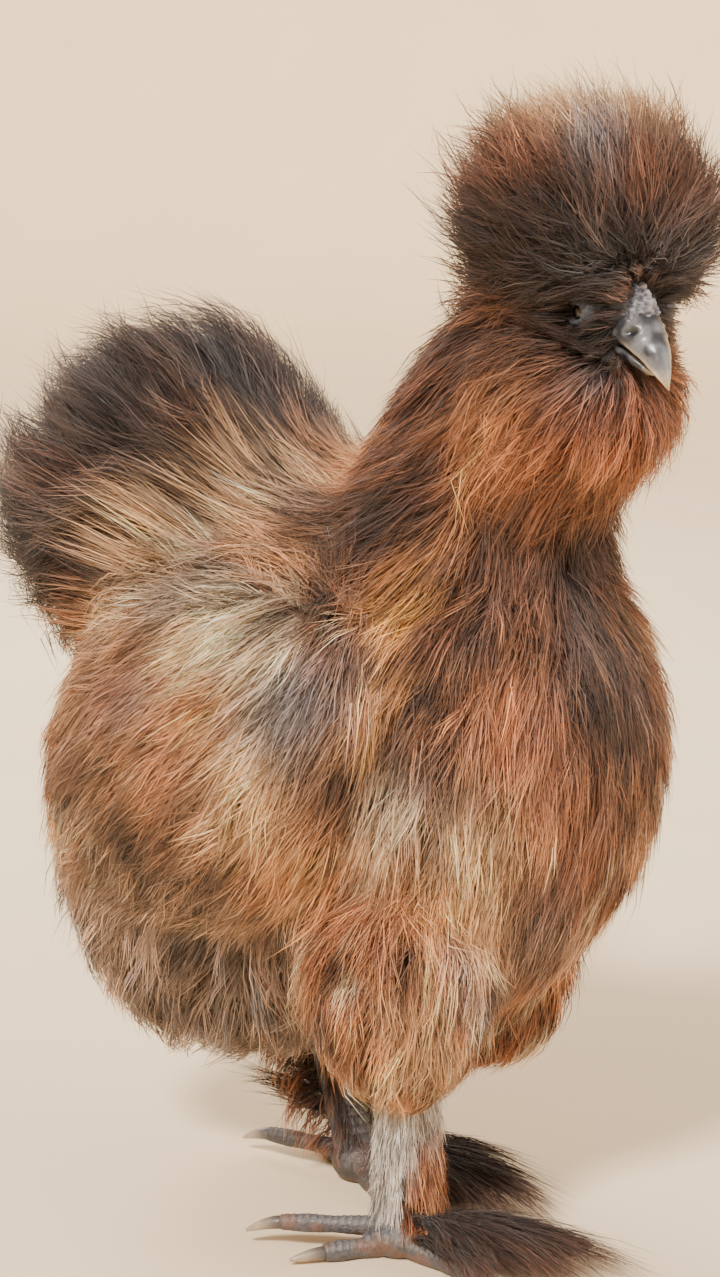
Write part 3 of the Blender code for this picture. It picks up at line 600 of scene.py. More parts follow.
def add_camera():
    data = bpy.data.cameras.new("camera")
    data.sensor_width = SENSOR
    data.lens = SENSOR * PIXELS_A_METRE * CAMERA_DISTANCE / PHOTO_HEIGHT
    camera = placed("camera", data)
    turn = Matrix(camera_axes()).transposed().to_4x4()
    camera.matrix_world = Matrix.Translation(camera_place() + SHIFT) @ turn
    bpy.context.scene.camera = camera


# Markings, shared by the skin and the plumage, by colour from the palest to the darkest, which
# lie over the others: each is a place in the photo, a radius in millimetres and how strongly it
# shows in percent. They lie where the camera's ray meets the plumage's form.
# A few of the marks are painted shadow, noted where they stand.
MARKS = {
    "pale": (
        (460, 862, 9, 75), (392, 840, 8, 65), (230, 655, 14, 85), (268, 676, 8, 75), (210, 600, 10, 60),
        (240, 720, 10, 70),
    ),
    "tan": (
        (470, 905, 13, 60), (505, 820, 8, 60), (420, 1060, 10, 40), (180, 640, 8, 60), (240, 830, 9, 60),
        (260, 780, 12, 45), (117, 530, 8, 60), (235, 490, 12, 85), (160, 530, 10, 75),
    ),
    "gold": (
        (392, 612, 7, 50), (367, 730, 6, 95),
    ),
    "orange": (
        (480, 440, 11, 45), (600, 470, 10, 45), (400, 570, 7, 50), (470, 560, 10, 40), (500, 690, 9, 50),
        (420, 900, 10, 50), (430, 720, 7, 60), (200, 712, 10, 80), (297, 882, 9, 65), (350, 700, 8, 60),
        (333, 458, 10, 70), (267, 540, 9, 60), (75, 610, 8, 50),
    ),
    "grey": (
        (593, 128, 8, 55), (585, 652, 8, 65), (476, 985, 7, 65), (160, 600, 7, 45), (282, 722, 11, 75),
        (322, 690, 9, 65), (120, 702, 8, 60),
    ),
    "fluff": (
        (693, 318, 9, 60), (545, 965, 13, 60),
    ),
    "red": (
        (560, 440, 12, 60), (620, 430, 12, 60), (520, 760, 14, 60),
    ),
    "rust": (
        (640, 285, 5, 60), (640, 190, 10, 50), (500, 150, 9, 45), (540, 400, 8, 50), (420, 470, 9, 45),
        (560, 860, 12, 50), (540, 640, 10, 50), (350, 930, 10, 50), (95, 690, 13, 55), (330, 620, 8, 50),
        (150, 770, 12, 45), (117, 302, 7, 60), (20, 458, 11, 35),
    ),
    "charcoal": (
        (573, 262, 11, 90), (617, 236, 8, 75), (684, 240, 10, 85), (588, 378, 8, 80), (425, 845, 6, 70),
        (490, 628, 7, 60), (540, 932, 8, 75), (400, 790, 8, 60), (300, 760, 6, 65), (287, 494, 9, 75),
        (208, 548, 9, 70), (217, 354, 9, 90), (67, 358, 11, 85), (290, 403, 8, 80),
    ),
    "brown": (
        (690, 170, 11, 50), (545, 350, 9, 60), (513, 362, 10, 55), (350, 500, 7, 60), (390, 470, 10, 60),
        # (515, 560) and (570, 590) are painted shadow under the beard, on the neck's front.
        (515, 560, 16, 85), (570, 590, 13, 75), (322, 812, 9, 75), (170, 830, 7, 70), (178, 360, 7, 70),
        (190, 415, 10, 70), (300, 340, 10, 50),
    ),
    "dark": (
        (535, 292, 9, 75), (560, 316, 9, 70), (510, 215, 12, 55), (590, 205, 12, 50), (470, 250, 9, 60),
        # (606, 338) and (588, 345) are painted shadow in the hollow about the eye.
        (606, 338, 7, 95), (588, 345, 6, 80), (668, 300, 6, 70), (457, 372, 9, 55), (365, 530, 9, 70),
        (412, 520, 8, 60), (330, 560, 8, 75), (590, 545, 13, 55), (600, 610, 10, 55), (440, 590, 9, 50),
        (435, 676, 9, 90), (352, 775, 9, 90), (442, 762, 8, 80), (400, 695, 6, 75), (395, 750, 5, 70),
        (330, 845, 6, 60), (600, 700, 14, 65), (630, 770, 13, 65), (200, 905, 7, 75), (250, 925, 6, 55),
        (262, 628, 6, 60), (62, 792, 9, 75), (112, 842, 10, 80), (152, 880, 9, 80), (140, 640, 8, 45),
        (340, 640, 6, 60), (100, 760, 7, 55), (220, 880, 8, 60), (300, 520, 6, 50), (40, 560, 13, 65),
        (20, 620, 12, 60),
    ),
}
# What each form's plumage is mostly coloured: at the root, in the middle and at the tips.
# The dark roots are partly the feathers' own colour and partly painted shade in the gaps between them.
TINTS = {
    "crest": ("dark", "dark", "brown"),
    # The crown's paler tints are painted highlight, where the light falls on the crest's top.
    "crown": ("rust", "orange", "tan"),
    "face": ("dark", "dark", "dark"),
    "beard": ("dark", "rust", "orange"),
    "neck": ("dark", "brown", "rust"),
    "torso": ("dark", "rust", "orange"),
    # The saddle's paler tints are painted highlight, where the light falls on the top of the back.
    "saddle": ("orange", "tan", "tan"),
    "rear": ("smoke", "fluff", "fluff"),
    "wing": ("brown", "orange", "tan"),
    "thigh": ("brown", "rust", "orange"),
    "tail": ("dark", "dark", "smoke"),
    "down": ("smoke", "white", "white"),
    "shank": ("dark", "rust", "orange"),
    "plume": ("dark", "dark", "brown"),
}
# Patches all over: colour, their size, where their noise starts, from and to what noise they
# show, how strongly, and the tints that have them.
PATCHES = (
    ("dark", 0.015, 11.0, 0.10, 0.32, 0.85, "torso saddle wing thigh rear neck crest beard"),
    ("grey", 0.017, 37.0, 0.18, 0.40, 0.60, "torso saddle wing rear"),
    ("pale", 0.012, 51.0, 0.14, 0.38, 0.75, "torso saddle wing thigh"),
)
# How the colour wavers in lumps and in fine streaks: how strongly, their size, where they start.
LUMPS = (0.34, 0.016, 3.0)
STREAKS = (0.30, 0.0065, 23.0)


def placed_marks():
    """Each mark's place on the plumage, the way it was seen, its colour, radius and strength."""
    start = camera_place()
    marks = []
    for colour, spots in MARKS.items():
        for x, y, millimetres, percent in spots:
            way = pixel_ray(x, y)
            place, _, _, _ = PLUMAGE_TREE.ray_cast(start, way)
            if place:
                size = (millimetres / 1000, percent / 100)
                marks.append((np.array(place), np.array(way), COLOURS[colour], *size))
    return marks


PLACED_MARKS = placed_marks()
# How deep a mark goes: at the plumage's root, in the middle and at the tips.
MARK_DEPTHS = (0.8, 1.0, 1.0)
MARK_FIRMNESS = 0.6
MARK_SPREAD = 1.25
# Offsets from a mark along the way it was seen count less by this share.
MARK_SHORTENING = 0.65
# Where tints begin and are whole: how far back and how high, and how far past the tail's edge,
# which is a plane through a place in y and z with a slope.
SADDLE_BACK, SADDLE_HIGH = (0.0, 0.05), (0.155, 0.19)
REAR_BACK, REAR_HIGH = (-0.005, 0.035), (0.092, 0.116)
TAIL_BACK, TAIL_PAST = (0.02, 0.04), (-0.009, 0.004)
TAIL_EDGE, TAIL_SLOPE = (0.047, 0.235), (0.72, 0.70)
CROWN_HIGH = (0.314, 0.334)


def noise_at(places, size, offset):
    """Smooth noise from about -1 to 1 at the places, in lumps of that size."""
    start = Vector((offset, 0, 0))
    return np.array([noise.noise(Vector(place) / size + start) for place in places])


def tint_shares(places, shares):
    """How much of each tint a place takes, by its shares of the forms."""
    _, y, z = places.T
    # The saddle, high on the back, takes paler tints as painted highlight.
    saddle = blend(*SADDLE_BACK, y) * blend(*SADDLE_HIGH, z)
    rear = np.clip(blend(*REAR_BACK, y) * (1 - blend(*REAR_HIGH, z)) - saddle, 0, 1)
    beyond = TAIL_SLOPE[0] * (y - TAIL_EDGE[0]) + TAIL_SLOPE[1] * (z - TAIL_EDGE[1])
    tail = blend(*TAIL_PAST, beyond) * blend(*TAIL_BACK, y)
    rest = 1 - tail
    torso = (shares[:, OWNERS.index("torso")] + shares[:, OWNERS.index("tail")]) * rest
    made = {"saddle": torso * saddle, "rear": torso * rear, "tail": tail}
    made["torso"] = torso * (1 - saddle - rear)
    for index, owner in enumerate(OWNERS):
        kind = owner.split("_")[0]
        if kind not in ("torso", "tail"):
            made[kind] = made.get(kind, 0) + shares[:, index] * rest
    # The crown, the crest's top, takes paler tints as painted highlight.
    crown = blend(*CROWN_HIGH, z)
    made["crown"] = made["crest"] * crown
    made["crest"] = made["crest"] * (1 - crown)
    return made


def marks_at(places):
    """The marks' colour at each place and how much of it shows."""
    marked, seen = np.zeros((len(places), 3)), np.zeros((len(places), 1))
    for centre, way, colour, radius, strength in PLACED_MARKS:
        offset = places - centre
        offset = offset - MARK_SHORTENING * (offset @ way)[:, None] * way
        away = lengths(offset)
        share = (strength**MARK_FIRMNESS * np.exp(-((away / radius / MARK_SPREAD) ** 3)))[:, None]
        marked = marked * (1 - share) + colour * share
        seen = seen * (1 - share) + share
    return marked, seen


def markings(places, tints):
    """Colours at the root, in the middle and at the tip of the plumage at each place."""
    lumps, streaks = (1 + field[0] * noise_at(places, *field[1:])[:, None] for field in (LUMPS, STREAKS))
    spreads = {}
    for colour, size, start, low, high, most, kinds in PATCHES:
        room = sum(tints.get(kind, 0) for kind in kinds.split())
        spreads[colour] = (most * blend(low, high, noise_at(places, size, start)) * room)[:, None]
    marked, seen = marks_at(places)
    layers = []
    for layer, depth in enumerate(MARK_DEPTHS):
        plain = sum(share[:, None] * COLOURS[TINTS[tint][layer]] for tint, share in tints.items())
        plain = plain * lumps
        for colour, spread in spreads.items():
            plain = plain + (COLOURS[colour] - plain) * spread * depth * (1 - seen)
        plain = plain * (1 - seen * depth) + marked * depth
        layers.append(np.clip(plain * streaks, 0.002, 0.95))
    return np.array(layers)


# Materials.


def node(tree, kind, **values):
    """A node of that kind, its inputs set by name with spaces written as underscores."""
    made = tree.nodes.new(kind)
    for key, value in values.items():
        made.inputs[key.replace("_", " ")].default_value = value
    return made


def pattern(tree, kind, **values):
    """A noise or cell texture in the piece's own space."""
    place = tree.nodes.new("ShaderNodeTexCoord")
    made = node(tree, kind, **values)
    tree.links.new(place.outputs["Object"], made.inputs["Vector"])
    return made


def spread_of(tree, value, low, high):
    """A noise's value, mostly 0.3 to 0.7, spread over low to high."""
    made = node(tree, "ShaderNodeMapRange", From_Min=0.3, From_Max=0.7, To_Min=low, To_Max=high)
    tree.links.new(value, made.inputs["Value"])
    return made.outputs["Result"]


def new_material(name, roughness, grain, **finish):
    """A material whose roughness varies with a noise, its shader and the noise's value."""
    made = bpy.data.materials.new(name)
    made.use_nodes = True
    tree = made.node_tree
    shader = tree.nodes["Principled BSDF"]
    value = pattern(tree, "ShaderNodeTexNoise", **grain).outputs["Fac"]
    tree.links.new(spread_of(tree, value, *roughness), shader.inputs["Roughness"])
    for key, amount in finish.items():
        shader.inputs[key.replace("_", " ")].default_value = amount
    return made, shader, value


def tinted_material(name, scale, tones, roughness, bump=None, cells=None, **finish):
    """A material in the points' own colours, lightened and darkened by fine noise.

    bump is its strength and depth; it follows the noise, or pebbles of the scale in cells.
    """
    grain = {"Scale": scale, "Detail": 3.0, "Roughness": 0.6}
    made, shader, value = new_material(name, roughness, grain, **finish)
    tree = made.node_tree
    tint = tree.nodes.new("ShaderNodeAttribute")
    tint.attribute_name = "tint"
    mixed = tree.nodes.new("ShaderNodeVectorMath")
    mixed.operation = "SCALE"
    tree.links.new(tint.outputs["Color"], mixed.inputs[0])
    tree.links.new(spread_of(tree, value, *tones), mixed.inputs["Scale"])
    tree.links.new(mixed.outputs["Vector"], shader.inputs["Base Color"])
    if bump:
        height = pattern(tree, "ShaderNodeTexVoronoi", Scale=cells).outputs["Distance"] if cells else value
        raised = node(tree, "ShaderNodeBump", Strength=bump[0], Distance=bump[1])
        tree.links.new(height, raised.inputs["Height"])
        tree.links.new(raised.outputs["Normal"], shader.inputs["Normal"])
    return made


FLOOR_COLOURS = ((254, 224, 180), (255, 234, 200))


def stage_material():
    made, shader, value = new_material("pale_floor", (0.80, 0.95), {"Scale": 6.0, "Detail": 4.0})
    tree = made.node_tree
    ramp = tree.nodes.new("ShaderNodeValToRGB")
    for end, colour in enumerate(FLOOR_COLOURS):
        ramp.color_ramp.elements[end].color = (*linear(colour), 1)
    tree.links.new(value, ramp.inputs["Fac"])
    tree.links.new(ramp.outputs["Color"], shader.inputs["Base Color"])
    return made


SILK = {"Specular_IOR_Level": 0.35, "Sheen_Weight": 0.25, "Sheen_Roughness": 0.45}
PLUMAGE = tinted_material("silky_plumage", 420.0, (0.84, 1.18), (0.50, 0.72), **SILK)
SKIN = tinted_material("slate_skin", 700.0, (0.72, 1.30), (0.42, 0.62), (0.5, 0.0004), 1400.0)
HORN = {"bump": (0.25, 0.0002), "Coat_Roughness": 0.18}
BEAK_HORN = tinted_material("beak_horn", 900.0, (0.86, 1.14), (0.272, 0.442), Coat_Weight=0.25, **HORN)
CLAW_HORN = tinted_material("claw_horn", 900.0, (0.86, 1.14), (0.304, 0.494), Coat_Weight=0.2, **HORN)
WET = {"Coat_Weight": 1.0, "Coat_Roughness": 0.02}
EYE = tinted_material("eye", 1500.0, (0.7, 1.3), (0.05, 0.10), **WET)


# Pieces.
HEAD_FACE = 0.00045
LEG_FACE = 0.00052
# Painted shade: how much darker the skin is than the plumage's roots over it. Painted shadow: how much
# darker the far leg is than the near one, as it stands in shade.
SKIN_PAINTED_SHADE = 0.8
FAR_LEG_PAINTED_SHADOW = 0.55
# Where on the skull the comb begins and is whole, ahead and above, the size of its folds, and how
# high the folds and its middle ridge stand.
COMB_AHEAD, COMB_ABOVE = (-0.0166, -0.0186), (-0.006, -0.004)
COMB_FOLD_SIZE = 0.0012
COMB_FOLDS = 0.00052
COMB_RIDGE = 0.00045
# The wrinkles round the eyes: their height and how far apart they are, and how far from the eye's
# middle they begin and are whole.
LID_WRINKLES = (0.00016, 0.00022)
LID_REACH = (0.0085, 0.0055)
# How far inside the eye's surface the skin lies in the lids' opening.
EYE_OVERLAP = 0.0007
# Scutes on toes and shanks: how far apart they lie and how far they stand up. Pebbles between
# them: how far they stand up and their size. The skin is drawn in by half a scute's height.
TOE_SCUTES = (0.0021, 0.00034)
SHANK_SCUTES = (0.0030, 0.00036)
PEBBLES = (0.00010, 0.0007)
LEG_DRAWN_IN = 0.00018
# Dirt on the legs: the size of its patches, and how strongly it shows.
DIRT_SIZE = 0.006
DIRT_STRENGTH = 0.45
# The beak's grain: how far it stands up and its size. Where the beak pales to cream: above its
# cutting edge, from how far ahead, and at the tips of its upper and its lower half.
BEAK_GRAIN = (0.00012, 0.0016)
CREAM_EDGE, CREAM_AHEAD = (0.0030, 0.0008), (0.0180, 0.0225)
CREAM_UPPER_TIP, CREAM_LOWER_TIP = (-0.0140, -0.0185), (0.0235, 0.0262)
NOSTRIL_RADII = (0.0022, 0.0019, 0.0009)
NOSTRIL_DEPTH = 0.0011
NOSTRIL_RIM = 0.00035
# How much darker the lower half of the beak is: painted shade, as it lies under the upper half.
LOWER_BEAK_PAINTED_SHADE = 0.6
# How deep in its toe a claw starts, how steeply it bends down and how it tapers.
CLAW_ROOT = 0.0012
CLAW_BEND = 1.7
CLAW_TAPER = (1.6, 0.7)


def add_piece(mesh, material, nodes):
    """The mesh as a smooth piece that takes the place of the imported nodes."""
    piece = placed(mesh.name, mesh)
    mesh.transform(Matrix.Translation(SHIFT))
    mesh.materials.clear()
    mesh.materials.append(material)
    mesh.shade_smooth()
    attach(piece, "root")
    if nodes:
        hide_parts(*nodes)


def set_tint(mesh, colours):
    """Gives every point its colour."""
    attribute = mesh.color_attributes.new("tint", "FLOAT_COLOR", "POINT")
    whole = np.ones((len(colours), 4), np.float32)
    whole[:, :3] = colours
    attribute.data.foreach_set("color", whole.ravel())


def body_skin():
    """The feathered body, coloured as the plumage over it and darkened by painted shade."""
    roots = markings(BODY.places, tint_shares(BODY.places, BODY.shares))[0]
    # Painted shade: the skin lies in shade under the plumage.
    set_tint(BODY.mesh, roots * SKIN_PAINTED_SHADE)
    return BODY.mesh


def carried(places, matrix):
    """The places, moved as the matrix says."""
    numbers = np.array(matrix)
    return places @ numbers[:3, :3].T + numbers[:3, 3]


def to_head(places):
    """The places in the head's own frame."""
    return carried(places, HEAD.inverted())


def head_skin():
    """The bare head: lids round the eyes, the wrinkled comb and the earlobes."""
    shapes = [skull_form(0.0, 40, 28)] + comb_forms()
    for side in SIDES.values():
        shapes.append(ball(mirrored(EYE_PLACE, side), (LID_RADIUS,) * 3, HEAD))
        shapes.append(ball(mirrored(EARLOBE_PLACE, side), EARLOBE_RADII, HEAD))
    mesh = remeshed("skin_head", shapes, HEAD_FACE, 3)
    local, normals = to_head(points_of(mesh)), normals_of(mesh)
    slate, comb_pale, teal = linear((66, 68, 76)), linear((172, 168, 176)), linear((72, 142, 150))
    colours = np.tile(slate, (len(local), 1))
    x, y, z = local.T
    comb = blend(*COMB_AHEAD, y) * blend(*COMB_ABOVE, z)
    folds = noise_at(local * (1, 1, 2.2), COMB_FOLD_SIZE, 5.0)
    ridge = blend(0.0011, 0.0003, np.abs(x - 0.0007 * np.sin(z * 520))) * blend(-0.001, 0.001, z)
    rise = (COMB_FOLDS * folds + COMB_RIDGE * ridge) * comb
    # The comb is paler on its raised folds and middle ridge, and slate in the creases between.
    pale = comb * np.clip(0.22 + 0.70 * folds + 0.45 * ridge, 0, 1)
    colours += (comb_pale - colours) * pale[:, None]
    for side in SIDES.values():
        eye = np.array(mirrored(EYE_PLACE, side))
        away = lengths(local - eye)
        opening = eye + (LID_OPENING[0] * side * 0.75, 0, 0)
        within = lengths((local - opening) / LID_OPENING)
        near = blend(*LID_REACH, away)
        rise += LID_WRINKLES[0] * np.sin(away / LID_WRINKLES[1]) * near * blend(1.0, 1.3, within)
        pushed = eye + (local - eye) / away[:, None] * (EYE_RADIUS - EYE_OVERLAP)
        hole = (within < 1)[:, None]
        local = np.where(hole, pushed, local)
        lobe = (local - np.array(mirrored(EARLOBE_PLACE, side))) / grown(EARLOBE_RADII, 0.0006)
        colours = np.where((lengths(lobe) < 1)[:, None], teal, colours)
    set_points(mesh, carried(local, HEAD) + normals * rise[:, None])
    set_tint(mesh, colours)
    return mesh


def scute_rise(along, angle, pitch, depth, half_angle):
    """How far scutes stand up: overlapping bands across the top, each lower at its root."""
    step = along / pitch + 0.12 * np.cos(angle * 2)
    saw = step - np.floor(step)
    band = blend(0.0, 0.22, saw) * (1 - 0.55 * saw) * (1 - blend(0.93, 1.0, saw))
    return depth * band * blend(half_angle + 0.25, half_angle - 0.1, np.abs(angle))


def leg_skin(side):
    """A shank, foot and toes, with scutes over their tops and pebbles beneath."""
    shapes = [shank_form(side), pad_form(side)] + [toe_form(side, number) for number in TOES]
    mesh = remeshed(f"skin_leg_{side}", shapes, LEG_FACE, 3)
    places, normals = points_of(mesh), normals_of(mesh)
    lines = [toe_line(side, number)[:2] + TOE_SCUTES for number in TOES]
    lines.append((FOOT_AT[side] + ANKLE, FOOT_AT[side] + HOCK_OFFSET[side], *SHANK_SCUTES))
    best = np.full(len(places), np.inf)
    rise, edge = np.zeros((2, len(places)))
    for index, (start, end, pitch, depth) in enumerate(lines):
        start, way = np.array(start), np.array(end - start)
        length = np.linalg.norm(way)
        way /= length
        along = (places - start) @ way
        spoke = places - start - along[:, None] * way
        away = lengths(spoke)
        ahead = np.array(direction(side)) if index == len(TOES) else np.array((0, 0, 1.0))
        top = ahead - way * (ahead @ way)
        top /= np.linalg.norm(top)
        aside = np.cross(way, top)
        angle = np.arctan2(spoke @ aside, spoke @ top)
        mine = (away < best) & (along > -0.001) & (along < length + 0.002)
        made = scute_rise(along, angle, pitch, depth, 1.15)
        rise = np.where(mine, made, rise)
        edge = np.where(mine, made / depth, edge)
        best = np.where(mine, away, best)
    pebbles = PEBBLES[0] * noise_at(places, PEBBLES[1], 9.0) * (1 - np.clip(edge * 2, 0, 1))
    moved = places + normals * (rise + pebbles - LEG_DRAWN_IN)[:, None]
    moved[:, 2] = np.maximum(moved[:, 2], 0.0)
    set_points(mesh, moved)
    slate, scute_glint, stain = linear((84, 82, 86)), linear((150, 140, 132)), linear((128, 84, 56))
    # Painted highlight: the scutes' raised edges are paler, as the glints along them.
    colours = slate + (scute_glint - slate) * (0.65 * edge**2)[:, None]
    dirt = blend(0.0, 0.45, noise_at(places, DIRT_SIZE, 15.0)) * DIRT_STRENGTH
    colours += (stain - colours) * dirt[:, None]
    # Painted shadow: the far leg stands in shade, so its colours are darker.
    if side == "left":
        colours = colours * FAR_LEG_PAINTED_SHADOW
    set_tint(mesh, colours)
    return mesh


def add_skin():
    mesh = join_meshes("skin", [body_skin(), head_skin(), leg_skin("right"), leg_skin("left")])
    flesh = [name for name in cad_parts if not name.startswith(("eye_", "beak_", "claw_"))]
    add_piece(mesh, SKIN, flesh)


def mandible(stations, tip, ridge, sides=40):
    """One half of the beak as rings, widest along the mouth's line and drawn in to a ridge."""
    rings = []
    for ahead, high, ahead_low, low, half_width in smooth_stations(stations, 10):
        upper, lower = Vector((0, -ahead, high)), Vector((0, -ahead_low, low))
        middle, half = (upper + lower) / 2, (upper - lower) / 2
        ring = []
        for index in range(sides):
            angle = 2 * math.pi * index / sides
            height = ridge * (2 * ((1 + ridge * math.sin(angle)) / 2) ** 1.8 - 1)
            ring.append(middle + half * height + Vector((half_width * math.cos(angle), 0, 0)))
        rings.append(ring)
    root = sum(rings[0], Vector()) / sides
    return loft(rings, root, Vector((0, -tip[0], tip[1])))


def add_beak():
    """Both halves of the beak: slate, paling to cream along the cutting edge and at the tip."""
    slate, dark, cream = linear((112, 113, 116)), linear((56, 56, 60)), linear((228, 212, 188))
    for name, stations, tip, ridge in (
        ("beak_upper", UPPER_BEAK, UPPER_TIP, 1),
        ("beak_lower", LOWER_BEAK, LOWER_TIP, -1),
    ):
        mesh = joined_mesh(f"{name}_horn", [mandible(stations, tip, ridge)])
        local, normals = points_of(mesh), normals_of(mesh)
        _, y, z = local.T
        ahead = -y
        rise = BEAK_GRAIN[0] * noise_at(local * (1, 0.4, 1), BEAK_GRAIN[1], 2.0)
        colours = slate + (dark - slate) * blend(0.15, -0.3, noise_at(local, 0.004, 8.0))[:, None]
        if ridge > 0:
            low_edge = [station[2:4] for station in stations] + [tip]
            edge_z = np.interp(ahead, *zip(*low_edge))
            edge = blend(*CREAM_EDGE, z - edge_z) * blend(*CREAM_AHEAD, ahead)
            pale = np.clip(edge + blend(*CREAM_UPPER_TIP, z), 0, 1)
            for side in SIDES.values():
                spoke = (local - np.array(mirrored(NOSTRIL_AT, side))) / NOSTRIL_RADII
                away = lengths(spoke)
                rise -= NOSTRIL_DEPTH * blend(1.2, 0.5, away)
                rise += NOSTRIL_RIM * blend(0.9, 1.3, away) * blend(2.4, 1.5, away)
                # Painted shade: the colour darkens into each nostril's hollow.
                colours = colours * (1 - 0.75 * blend(1.3, 0.7, away))[:, None]
        else:
            pale = 0.55 * blend(*CREAM_LOWER_TIP, ahead)
            # Painted shade on the lower half, under the upper.
            colours = colours * LOWER_BEAK_PAINTED_SHADE
        colours = colours + (cream - colours) * (0.9 * pale)[:, None]
        set_points(mesh, local + normals * rise[:, None])
        mesh.transform(HEAD)
        set_tint(mesh, colours)
        add_piece(mesh, BEAK_HORN, [name])


def add_eyes():
    """Dark eyes with a brown iris round the pupil."""
    black, brown = linear((14, 12, 12)), linear((92, 52, 30))
    for side, sign in SIDES.items():
        mesh = joined_mesh(f"eye_{side}_ball", [ball((0, 0, 0), (EYE_RADIUS,) * 3, None, 40, 28)])
        look = np.array(Vector((sign, -0.35, 0.05)).normalized())
        facing = points_of(mesh) @ look / EYE_RADIUS
        iris = blend(0.55, 0.62, facing) * (1 - blend(0.80, 0.84, facing))
        set_tint(mesh, black + (brown - black) * iris[:, None])
        mesh.transform(HEAD @ Matrix.Translation(mirrored(EYE_PLACE, sign)))
        add_piece(mesh, EYE, [f"eye_{side}"])


def add_claws():
    """Pale claws, darker at the root."""
    pale, deep = linear((168, 152, 132)), linear((84, 78, 76))
    shares = [step / CLAW_STEPS for step in range(CLAW_STEPS)]
    for side in SIDES:
        for number in TOES:
            _, end, along = toe_line(side, number)
            flat = Vector((along.x, along.y, 0)).normalized()
            drop = end.z - CLAW_TIP_Z - TOES[number][3] * 0.5
            points = [end + flat * CLAW_LENGTH * s - Vector((0, 0, drop * s**CLAW_BEND)) for s in shares]
            radii = [CLAW_RADIUS * (1 - s ** CLAW_TAPER[0]) ** CLAW_TAPER[1] for s in shares]
            points[0] = points[0] - along * CLAW_ROOT
            mesh = joined_mesh(f"claw_{side}_{number}_horn", [tube(points, radii, 16)])
            places = points_of(mesh)
            share = np.clip((places - np.array(end)) @ np.array(flat) / CLAW_LENGTH, 0, 1)
            set_tint(mesh, deep + (pale - deep) * blend(0.0, 0.7, share)[:, None])
            add_piece(mesh, CLAW_HORN, [f"claw_{side}_{number}"])


# Plumage. Each feather is a guide curve on the body, and each guide carries silky strands.
KNOTS = 5
LYING = (0.0, 0.36, 0.64, 0.82, 0.94)
FANNED = (0.0, 0.42, 0.72, 0.90, 1.02)
SPIKED = (0.0, 0.32, 0.62, 0.86, 1.06)
ROOT_DEPTH = 0.001
# Painted shade by depth in the plumage: how dark the deepest feathers are, and how much paler the highest.
DEPTH_PAINTED_SHADE = (0.44, 0.62)
# A strand's stations, and how broad it is at the first two. It ends in a point.
STRAND_SHARES = np.array((0.0, 0.5, 1.0))
STRAND_WIDTHS = np.array((0.9, 1.0))
# A strand's length as a share of its feather's, and how much shorter it may end.
STRAND_LENGTHS = (0.40, 0.75)
SHORTER_BY = 0.50
WILD_LIFT = 0.0016
# How unlike the feathers are in shade, and the strands of one feather.
FEATHER_SHADES = 0.32
STRAND_SHADES = 0.25
OFF_THE_FLOOR = 0.0004
UV_PATCH = 0.003
# Where one form's plumage is several pieces: the crest's parting, the breast's end, the belly's top.
CREST_PARTING = -0.001
BREAST_END = -0.012
BELLY_TOP = 0.13
# The room kept free in the head's frame: about beak and comb, and a cone before each eye.
FREE_ROOM = ((0, -0.0255, -0.0065), (0.0080, 0.0150, 0.0128))
SIGHT_WAY = (0.90, -0.42, -0.06)
SIGHT_LENGTH = 0.022
SIGHT_RADIUS = 0.0028
SIGHT_WIDENS = 0.08
# The knots at which a feather takes its three colours, at the root, in the middle and at the tip,
# and how far the odd dark and pale feathers differ there.
COLOUR_KNOTS = (1, 2, 4)
ODD_FEATHERS = ((0.9, 0.2), (0.75, 0.5), (0.45, 0.7))


def spread_roots(faces, count, draw):
    """Places on those faces of the body, spread evenly by area, and the faces they lie on."""
    sizes = BODY.sizes[faces]
    steps = (np.arange(count) + draw.random(count)) / count
    chosen = faces[np.minimum(np.searchsorted(np.cumsum(sizes) / sizes.sum(), steps), len(faces) - 1)]
    u, v = draw.random((2, count, 1))
    one, two, three, four = BODY.corners[chosen].transpose(1, 0, 2)
    return (one * (1 - u) + two * u) * (1 - v) + (four * (1 - u) + three * u) * v, chosen


def guides_of(coat, faces, draw):
    """Feather curves: points and outward directions at each knot, and shares of the forms.

    Each runs from its root along the body, rising to the plumage's form.
    """
    places, faces = spread_roots(faces, coat["feathers"], draw)
    sway = draw.normal(0, coat["sway"], (len(places), 1))
    reach = coat["length"] * draw.uniform(0.75, 1.25, (len(places), 1))
    tier = 1 - coat["depth"] * draw.random((len(places), 1)) ** 1.4
    normals = BODY.normals[faces]
    points, outs = [places - normals * ROOT_DEPTH], [normals]
    for lift in coat["lifts"][1:]:
        lies = BODY.lies[faces]
        along = lies - normals * (lies * normals).sum(axis=1, keepdims=True)
        ease = np.clip(2 * lengths(along)[:, None], 0.25, 1)
        along = unit(along)
        along = unit(along + np.cross(normals, along) * sway)
        places, faces = BODY.nearest(places + along * reach * ease / (KNOTS - 1))
        normals = BODY.normals[faces]
        points.append(places + normals * BODY.rooms[faces] * lift * tier)
        outs.append(normals)
        if len(points) == KNOTS - 1:
            shares = BODY.face_shares[faces]
    lines, tones = tufted(np.stack(points, axis=1), coat, draw)
    # Painted shade: feathers that lie deeper in the plumage are darker, as shade falls there.
    tones *= DEPTH_PAINTED_SHADE[0] + DEPTH_PAINTED_SHADE[1] * (tier[:, 0] - tier.min()) / np.ptp(tier)
    slack = coat["slack"] * draw.uniform(0.2, 1.8, len(lines))
    return held(lines, slack), np.stack(outs, axis=1), shares, tones


